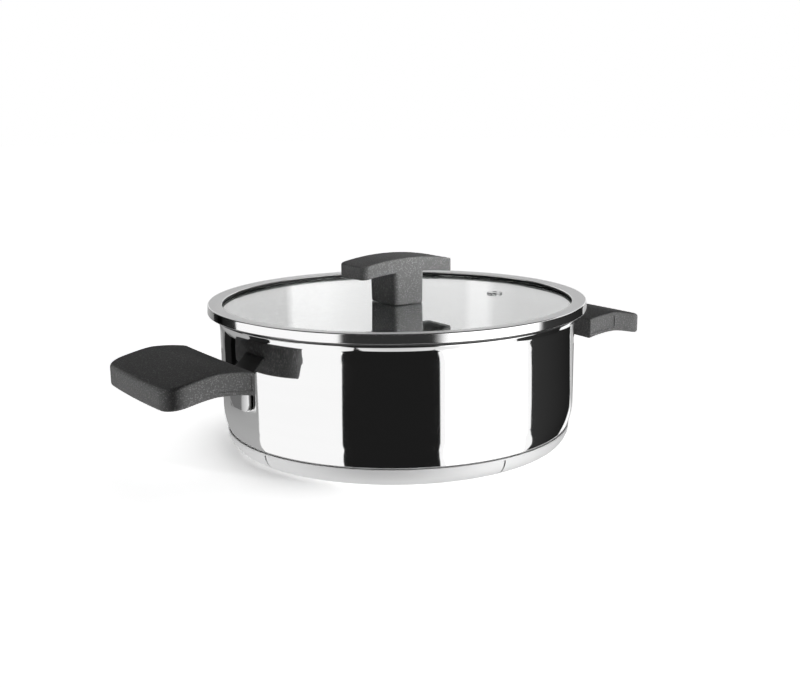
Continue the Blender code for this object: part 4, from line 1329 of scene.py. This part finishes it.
bar_plan = rounded_rectangle(KNOB_LENGTH / 2, KNOB_DEPTH / 2, KNOB_CORNER, 12, 36)
bar_spine = ((KNOB_DEPTH - KNOB_LENGTH) / 2, (KNOB_LENGTH - KNOB_DEPTH) / 2)
lid_knob = rounded_slab("lid_knob", bar_plan, bar_spine, bar_top, bar_bottom,
                        lambda x: KNOB_EDGE, phenolic)
stem_plan = rounded_rectangle(STEM_WIDTH / 2, KNOB_DEPTH / 2, STEM_CORNER, 10, 6)
cut(lid_knob, lofted("stem", stem_rows(stem_plan), phenolic), "UNION")
AXIS = (0.0, 0.0, 0.0)
drill(lid_knob, INSERT_BORE[0], 0.09, INSERT_BORE[1], AXIS, phenolic, 48)
drill(lid_knob, PAD_RECESS[0], 0.085, PAD_RECESS[1], AXIS, phenolic, 64)
tidy(lid_knob.data, SHARP_ON_MOULDED)
seat(lid_knob, "lid", "phenolic", "knob")

# %% [markdown]
# ## What holds the knob
# A pad sits between the knob and the glass. Below the glass, a seal and a washer spread the pull
# of the screw, whose head can be seen through the pane. They are turned like the other fixings.

# %% Turn the knob's fixings
KNOB_SCREW_BORE = 0.0028
# Name, radius, bottom, top, broken edge, finish, slot, and the solid it stands for.
KNOB_RINGS = (("knob_cushion", 0.0078, 0.0956, 0.0966, 0.00015, silicone, "silicone", "knob_pad"),
              ("under_seal", 0.0085, 0.0903, 0.0915, 0.0003, silicone, "silicone", "knob_seal"),
              ("under_washer", 0.0075, 0.0890, 0.0900, 0.00015, bright_steel, "bright_steel",
               "knob_washer"))
for name, radius, bottom, top, edge, finish, slot, solid in KNOB_RINGS:
    ring = washer(name, radius, KNOB_SCREW_BORE, bottom, top, AXIS, finish, edge)
    seat(ring, "lid", slot, solid)
under_screw = screw("under_screw", 0.0025, 0.1089, 0.0047, 0.0887, 0.0030, AXIS, bright_steel)
seat(under_screw, "lid", "bright_steel", "knob_screw")

# %% [markdown]
# ## The solids that stay
# The aluminium disc in the base and the brass insert in the knob are hidden, and their CAD shapes
# are right as they are. They only get their finishes, in their own material slots.

# %% Dress the solids that stay
for name, finish in (("base_core", aluminium), ("knob_insert", brass)):
    solid = frame["nodes"][name]
    solid.data.materials.clear()
    solid.data.materials.append(finish)
    print("stays as packed:", name)

# %% [markdown]
# ## The studio
# Polished steel shows nothing of its own: it shows the room. The picture's bright wall is a white
# studio, and its black bands are flags, dark boards that the photographer sets round the pan. The
# wall throws each board back from a known direction, so each board's edges were found by tracing
# the band's edges from the camera to the wall and on. Boards are set on a wide sphere round the
# pan. Only glossy rays see them: they show in the metal and the glass, and faintly in the
# plastic's sheen, and they light nothing else and cast no shadow.

# %% Make the studio's boards
BOARD_DISTANCE = 1.6
BOARD_CENTRE = 0.05
AROUND_BOARDS = 1.0
CAMERA_SIDE = math.radians(-124.552)


def board_material():
    """One glow for every board. How bright each spot is comes from the board itself."""
    material = bpy.data.materials.new("studio boards")
    material.use_nodes = True
    tree = material.node_tree
    tree.nodes.clear()
    level = tree.nodes.new("ShaderNodeAttribute")
    level.attribute_name = "level"
    glow = tree.nodes.new("ShaderNodeEmission")
    tree.links.new(level.outputs["Fac"], glow.inputs["Strength"])
    output = tree.nodes.new("ShaderNodeOutputMaterial")
    tree.links.new(glow.outputs[0], output.inputs["Surface"])
    return material


board_glow = board_material()


def board(name, rows, soft=(0.0, 0.0), columns=96, nearer=0.0):
    """A board on the sphere. Each row is a height angle, the left and right bearings from the
    camera's side in degrees, and the levels at its two ends. Its ends may fade over some degrees
    into the brightness of what is around it, and it may hang nearer than the others."""
    away = BOARD_DISTANCE - nearer
    vertices, faces, levels = [], [], []
    for rise, left, right, first, last in rows:
        for column in range(columns + 1):
            share = column / columns
            bearing = left + (right - left) * share
            cover = 1.0
            if soft[0]:
                cover = min(cover, (bearing - left) / soft[0])
            if soft[1]:
                cover = min(cover, (right - bearing) / soft[1])
            cover = cover * cover * (3.0 - 2.0 * cover)
            level = first + (last - first) * share
            levels.append(AROUND_BOARDS + (level - AROUND_BOARDS) * cover)
            side, height = CAMERA_SIDE + math.radians(bearing), math.radians(rise)
            vertices.append((away * math.cos(height) * math.cos(side),
                             away * math.cos(height) * math.sin(side),
                             BOARD_CENTRE + away * math.sin(height)))
    for row in range(len(rows) - 1):
        for column in range(columns):
            first = row * (columns + 1) + column
            faces.append((first, first + 1, first + columns + 2, first + columns + 1))
    mesh = bpy.data.meshes.new(name)
    mesh.from_pydata(vertices, [], faces)
    mesh.attributes.new("level", "FLOAT", "POINT").data.foreach_set("value", levels)
    thing = new_piece(name, mesh)
    mesh.materials.append(board_glow)
    for kind in ("visible_camera", "visible_diffuse", "visible_transmission", "visible_shadow"):
        setattr(thing, kind, False)
    thing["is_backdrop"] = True
    return thing


DARK = 0.012
WHITE_BOARD = 1.45
# Height angle, then the left and the right bearing.
MIDDLE_LOW = ((-10.5, -31.4, 24.2), (-10.9, -32.4, 24.9), (-11.5, -33.1, 25.1),
              (-15.0, -33.7, 25.2), (-21.0, -34.2, 25.2), (-27.5, -34.3, 25.4),
              (-40.0, -38.5, 28.2), (-55.0, -47.0, 35.5), (-72.0, -62.0, 53.0))
RIGHT_LOW = ((-10.4, 88.0, 142.5), (-11.0, 89.4, 143.3), (-12.2, 90.0, 144.4),
             (-13.7, 90.3, 146.0), (-14.8, 90.4, 147.5), (-15.8, 90.2, 146.0),
             (-18.2, 90.2, 144.5), (-23.8, 93.8, 143.5), (-33.8, 105.0, 147.0),
             (-55.0, 121.0, 153.0), (-72.0, 136.0, 160.0))
WHITE_RIGHT = ((33.0, 28.5, 86.0), (5.0, 28.5, 86.0), (-10.5, 28.5, 86.0),
               (-27.5, 28.5, 90.0), (-40.0, 31.0, 104.0), (-55.0, 41.0, 118.0),
               (-72.0, 64.0, 132.0))
# The same, and the levels at the two ends.
PALE_LOW = ((-11.2, -205.0, -97.0, 0.22, 0.22), (-14.2, -205.0, -96.8, 0.24, 0.26),
            (-16.0, -205.0, -96.6, 0.33, 0.38), (-22.7, -205.0, -99.3, 0.37, 0.40),
            (-33.9, -205.0, -110.8, 0.38, 0.42), (-50.0, -205.0, -124.0, 0.40, 0.42),
            (-72.0, -205.0, -135.0, 0.50, 0.50))
board("middle_low", [(*row, DARK, DARK) for row in MIDDLE_LOW])
board("middle_high", ((33.0, -33.0, 28.0, 0.03, 0.03), (-10.5, -33.0, 28.0, 0.03, 0.03)),
      (3.5, 9.0))
board("right_low", [(*row, 0.034, 0.012) for row in RIGHT_LOW])
board("right_high", ((20.0, 86.0, 144.0, 0.04, 0.015), (-10.4, 86.0, 143.0, 0.04, 0.015)),
      (5.0, 0.0))
board("left_first", ((34.0, -136.0, -128.5, 0.012, 0.012), (-9.5, -136.0, -128.5, 0.012, 0.012),
                     (-10.5, -143.0, -128.5, 0.012, 0.012), (-14.2, -143.0, -128.5, 0.012, 0.012)))
board("left_slot", ((34.0, -129.0, -121.0, 0.002, 0.002), (-14.2, -129.0, -121.0, 0.002, 0.002)),
      nearer=0.02)
board("left_second", ((34.0, -121.5, -104.5, 0.012, 0.02), (-9.5, -121.5, -104.5, 0.012, 0.02),
                      (-10.5, -121.5, -112.0, 0.012, 0.02), (-14.2, -121.5, -112.0, 0.012, 0.02)))
board("pale_low", PALE_LOW)
board("pale_far", ((5.0, -205.0, -160.0, 0.60, 0.50), (-11.2, -205.0, -160.0, 0.60, 0.50)))
board("pale_near", ((5.0, -160.0, -136.0, 0.50, 0.22), (-9.5, -160.0, -136.0, 0.50, 0.22),
                    (-10.5, -160.0, -143.0, 0.50, 0.15), (-11.2, -160.0, -143.0, 0.50, 0.15)))
board("pale_high", ((34.0, -150.0, -136.0, 0.50, 0.40), (5.0, -150.0, -136.0, 0.50, 0.40)))
board("right_far", ((5.0, 144.5, 155.0, 0.50, 0.50), (-11.0, 144.5, 155.0, 0.50, 0.50),
                    (-15.0, 147.5, 155.0, 0.60, 0.60), (-17.0, 146.0, 157.0, 1.05, 1.05),
                    (-34.0, 146.0, 160.0, 1.05, 1.05)))
for number, (left, right, first, last) in enumerate(((-135.0, -114.3, 0.16, 0.16),
                                                     (-114.3, -111.0, 0.42, 0.95),
                                                     (-111.0, -99.0, 0.95, 0.95))):
    board("leg_%d" % number, ((-13.9, left, right, first, last), (-15.2, left, right, first, last)),
          nearer=0.02)
board("under", ((-66.0, -180.0, 180.0, 1.0, 1.0), (-72.0, -180.0, 180.0, 0.80, 0.80),
                (-78.0, -180.0, 180.0, 0.62, 0.62), (-89.9, -180.0, 180.0, 0.60, 0.60)))
board("white_right", [(*row, WHITE_BOARD, WHITE_BOARD) for row in WHITE_RIGHT], nearer=-0.05)
board("ceiling", ((34.0, -180.0, 180.0, 0.03, 0.03), (60.0, -180.0, 180.0, 0.03, 0.03),
                  (89.9, -180.0, 180.0, 0.03, 0.03)))
print("boards at", BOARD_DISTANCE, "m")

# %% [markdown]
# The glass lies flat, so it mirrors one thing only: the backdrop behind the pan, just above the
# horizon. That backdrop is brightest a little left of the middle and has a narrow bright strip to
# the right, and the pane shows both. It is made of the same boards.

# %% Hang the backdrop that the glass mirrors
BACKDROP = ((164.0, 0.79), (171.0, 0.79), (172.6, 0.88), (173.3, 1.15), (174.4, 1.15),
            (175.0, 0.95), (178.0, 0.93), (181.0, 1.00), (183.5, 1.08), (185.5, 1.22),
            (188.0, 1.24), (188.6, 0.76), (191.0, 0.74), (197.0, 0.78))
for number, ((left, first), (right, last)) in enumerate(zip(BACKDROP, BACKDROP[1:])):
    board("backdrop_%d" % number,
          ((30.0, left, right, first, last), (5.5, left, right, first, last)), columns=8)
print("backdrop in", len(BACKDROP) - 1, "strips")

# %% [markdown]
# ### Floor, room light and lamps
# The floor is pale and keeps the pan's faint shadow. To the camera it glows, so that it meets the
# white room without a line. The glow is weaker close to the base. That shade is drawn: it deepens
# the place where the pan stands, and stays where it is if a lamp moves. The room is plain white to
# the camera, to mirrors and through glass, and a calmer level lights the pan. The two main lamps
# stand a little below the floor, which lets their light through, and shape the grips and the knob
# as light from a pale table would. A third stands high, and two small ones reach the knob and one
# grip. Mirrors see none of them.

# %% Light the pan
ROOM_LIGHT = 0.04
FLOOR_RADIUS = 6.0
FLOOR_GLOW = 0.90
FLOOR_SHADE = 1.0
CONTACT_SHADE = 0.74
CONTACT_RADIUS = 0.115
CONTACT_FADE = 0.017
CONTACT_BEARING = -75.0
SMALL_LAMP_AWAY = 0.9
SMALL_LAMP_SIZE = 0.10
# Name, strength, width in degrees, bearing, height angle, and what a small lamp is aimed at.
LAMPS = (("key", 7.75, 22.0, 91.0, -12.0), ("fill", 2.75, 26.0, -92.0, -12.0),
         ("high", 0.40, 40.0, 114.0, 64.0))
SMALL_LAMPS = (("knob lamp", 107.0, 14.0, 60.0, 16.0, (0.0, 0.0, 0.115)),
               ("grip lamp", 22.5, 14.0, -90.0, 4.0, (-0.165, 0.0, 0.068)))


def bearing_point(bearing, rise):
    """A direction given by its bearing from the camera's side and its height angle."""
    side, height = math.radians(bearing), math.radians(rise)
    return studio_point(math.sin(side) * math.cos(height), -math.cos(side) * math.cos(height),
                        math.sin(height))


def contact_shade(tree):
    """How much darker the floor is drawn close to the base, most of all at one bearing."""
    place = tree.nodes.new("ShaderNodeTexCoord").outputs["Object"]
    distance = tree.nodes.new("ShaderNodeVectorMath")
    distance.operation = "LENGTH"
    tree.links.new(place, distance.inputs[0])
    along = tree.nodes.new("ShaderNodeVectorMath")
    along.operation = "DOT_PRODUCT"
    tree.links.new(place, along.inputs[0])
    along.inputs[1].default_value = bearing_point(CONTACT_BEARING, 0.0)
    lee = tree.nodes.new("ShaderNodeMapRange")
    lee.interpolation_type = "SMOOTHSTEP"
    for socket, value in (("From Min", 0.3), ("From Max", 0.9), ("To Min", 0.2), ("To Max", 1.0)):
        lee.inputs[socket].default_value = value
    tree.links.new(math_node(tree, "DIVIDE", along.outputs["Value"], distance.outputs["Value"]),
                   lee.inputs["Value"])
    away = math_node(tree, "SUBTRACT", CONTACT_RADIUS, distance.outputs["Value"])
    near = math_node(tree, "EXPONENT", math_node(tree, "DIVIDE", away, CONTACT_FADE))
    near = math_node(tree, "MULTIPLY", math_node(tree, "MINIMUM", near, 1.0), CONTACT_SHADE)
    return math_node(tree, "MULTIPLY", near, lee.outputs["Result"])


def lay_floor():
    mesh = bpy.data.meshes.new("floor")
    work = bmesh.new()
    bmesh.ops.create_circle(work, cap_ends=True, radius=FLOOR_RADIUS, segments=96)
    work.to_mesh(mesh)
    work.free()
    floor = new_piece("floor", mesh)
    material = bpy.data.materials.new("pale floor")
    material.use_nodes = True
    tree = material.node_tree
    tree.nodes.clear()
    matt = tree.nodes.new("ShaderNodeBsdfDiffuse")
    matt.inputs["Color"].default_value = (FLOOR_SHADE, FLOOR_SHADE, FLOOR_SHADE, 1.0)
    glow = tree.nodes.new("ShaderNodeEmission")
    path = tree.nodes.new("ShaderNodeLightPath")
    level = math_node(tree, "SUBTRACT", FLOOR_GLOW, contact_shade(tree))
    tree.links.new(math_node(tree, "MULTIPLY", path.outputs["Is Camera Ray"], level),
                   glow.inputs["Strength"])
    both = tree.nodes.new("ShaderNodeAddShader")
    tree.links.new(matt.outputs[0], both.inputs[0])
    tree.links.new(glow.outputs[0], both.inputs[1])
    output = tree.nodes.new("ShaderNodeOutputMaterial")
    tree.links.new(both.outputs[0], output.inputs["Surface"])
    mesh.materials.append(material)
    floor.visible_glossy = False
    floor.visible_shadow = False
    floor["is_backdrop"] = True


def light_room():
    world = bpy.data.worlds.new("white room")
    bpy.context.scene.world = world
    world.use_nodes = True
    tree = world.node_tree
    path = tree.nodes.new("ShaderNodeLightPath")
    seen = math_node(tree, "MAXIMUM", path.outputs["Is Camera Ray"], path.outputs["Is Glossy Ray"])
    seen = math_node(tree, "MAXIMUM", seen, path.outputs["Is Transmission Ray"])
    tree.links.new(remap(tree, seen, ROOM_LIGHT, 1.0), tree.nodes["Background"].inputs["Strength"])
    tree.nodes["Background"].inputs["Color"].default_value = (1.0, 1.0, 1.0, 1.0)


def lamp(name, strength, width, bearing, rise):
    """A broad lamp far away, given by its bearing and its height angle."""
    light = bpy.data.lights.new(name, "SUN")
    light.energy = strength
    light.angle = math.radians(width)
    thing = bpy.data.objects.new(name, light)
    bpy.context.scene.collection.objects.link(thing)
    thing.rotation_euler = bearing_point(bearing, rise).to_track_quat("Z", "Y").to_euler()
    thing.visible_glossy = False


def small_lamp(name, power, width, bearing, rise, target):
    """A small shaded lamp that reaches little more than what it is aimed at."""
    light = bpy.data.lights.new(name, "SPOT")
    light.energy = power
    light.shadow_soft_size = SMALL_LAMP_SIZE
    light.spot_size = math.radians(width)
    light.spot_blend = 1.0
    thing = bpy.data.objects.new(name, light)
    bpy.context.scene.collection.objects.link(thing)
    towards = bearing_point(bearing, rise)
    thing.location = Vector(target) + towards * SMALL_LAMP_AWAY
    thing.rotation_euler = towards.to_track_quat("Z", "Y").to_euler()
    thing.visible_glossy = False


lay_floor()
light_room()
for settings in LAMPS:
    lamp(*settings)
for settings in SMALL_LAMPS:
    small_lamp(*settings)
bpy.context.scene.view_settings.view_transform = "Standard"
print("lamps:", len(LAMPS), "broad and", len(SMALL_LAMPS), "small")

# %% [markdown]
# ## Measure and finish
# The boxes of the CAD model and of the dressed pan are printed side by side. The
# dressed pan has to stay as large as the CAD model.

# %% Write the sizes and finish
dressed_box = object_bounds()
for label, (low, high) in (("CAD", cad_box), ("dressed", dressed_box)):
    print(label, "box in mm:", [round((b - a) * 1000, 1) for a, b in zip(low, high)])
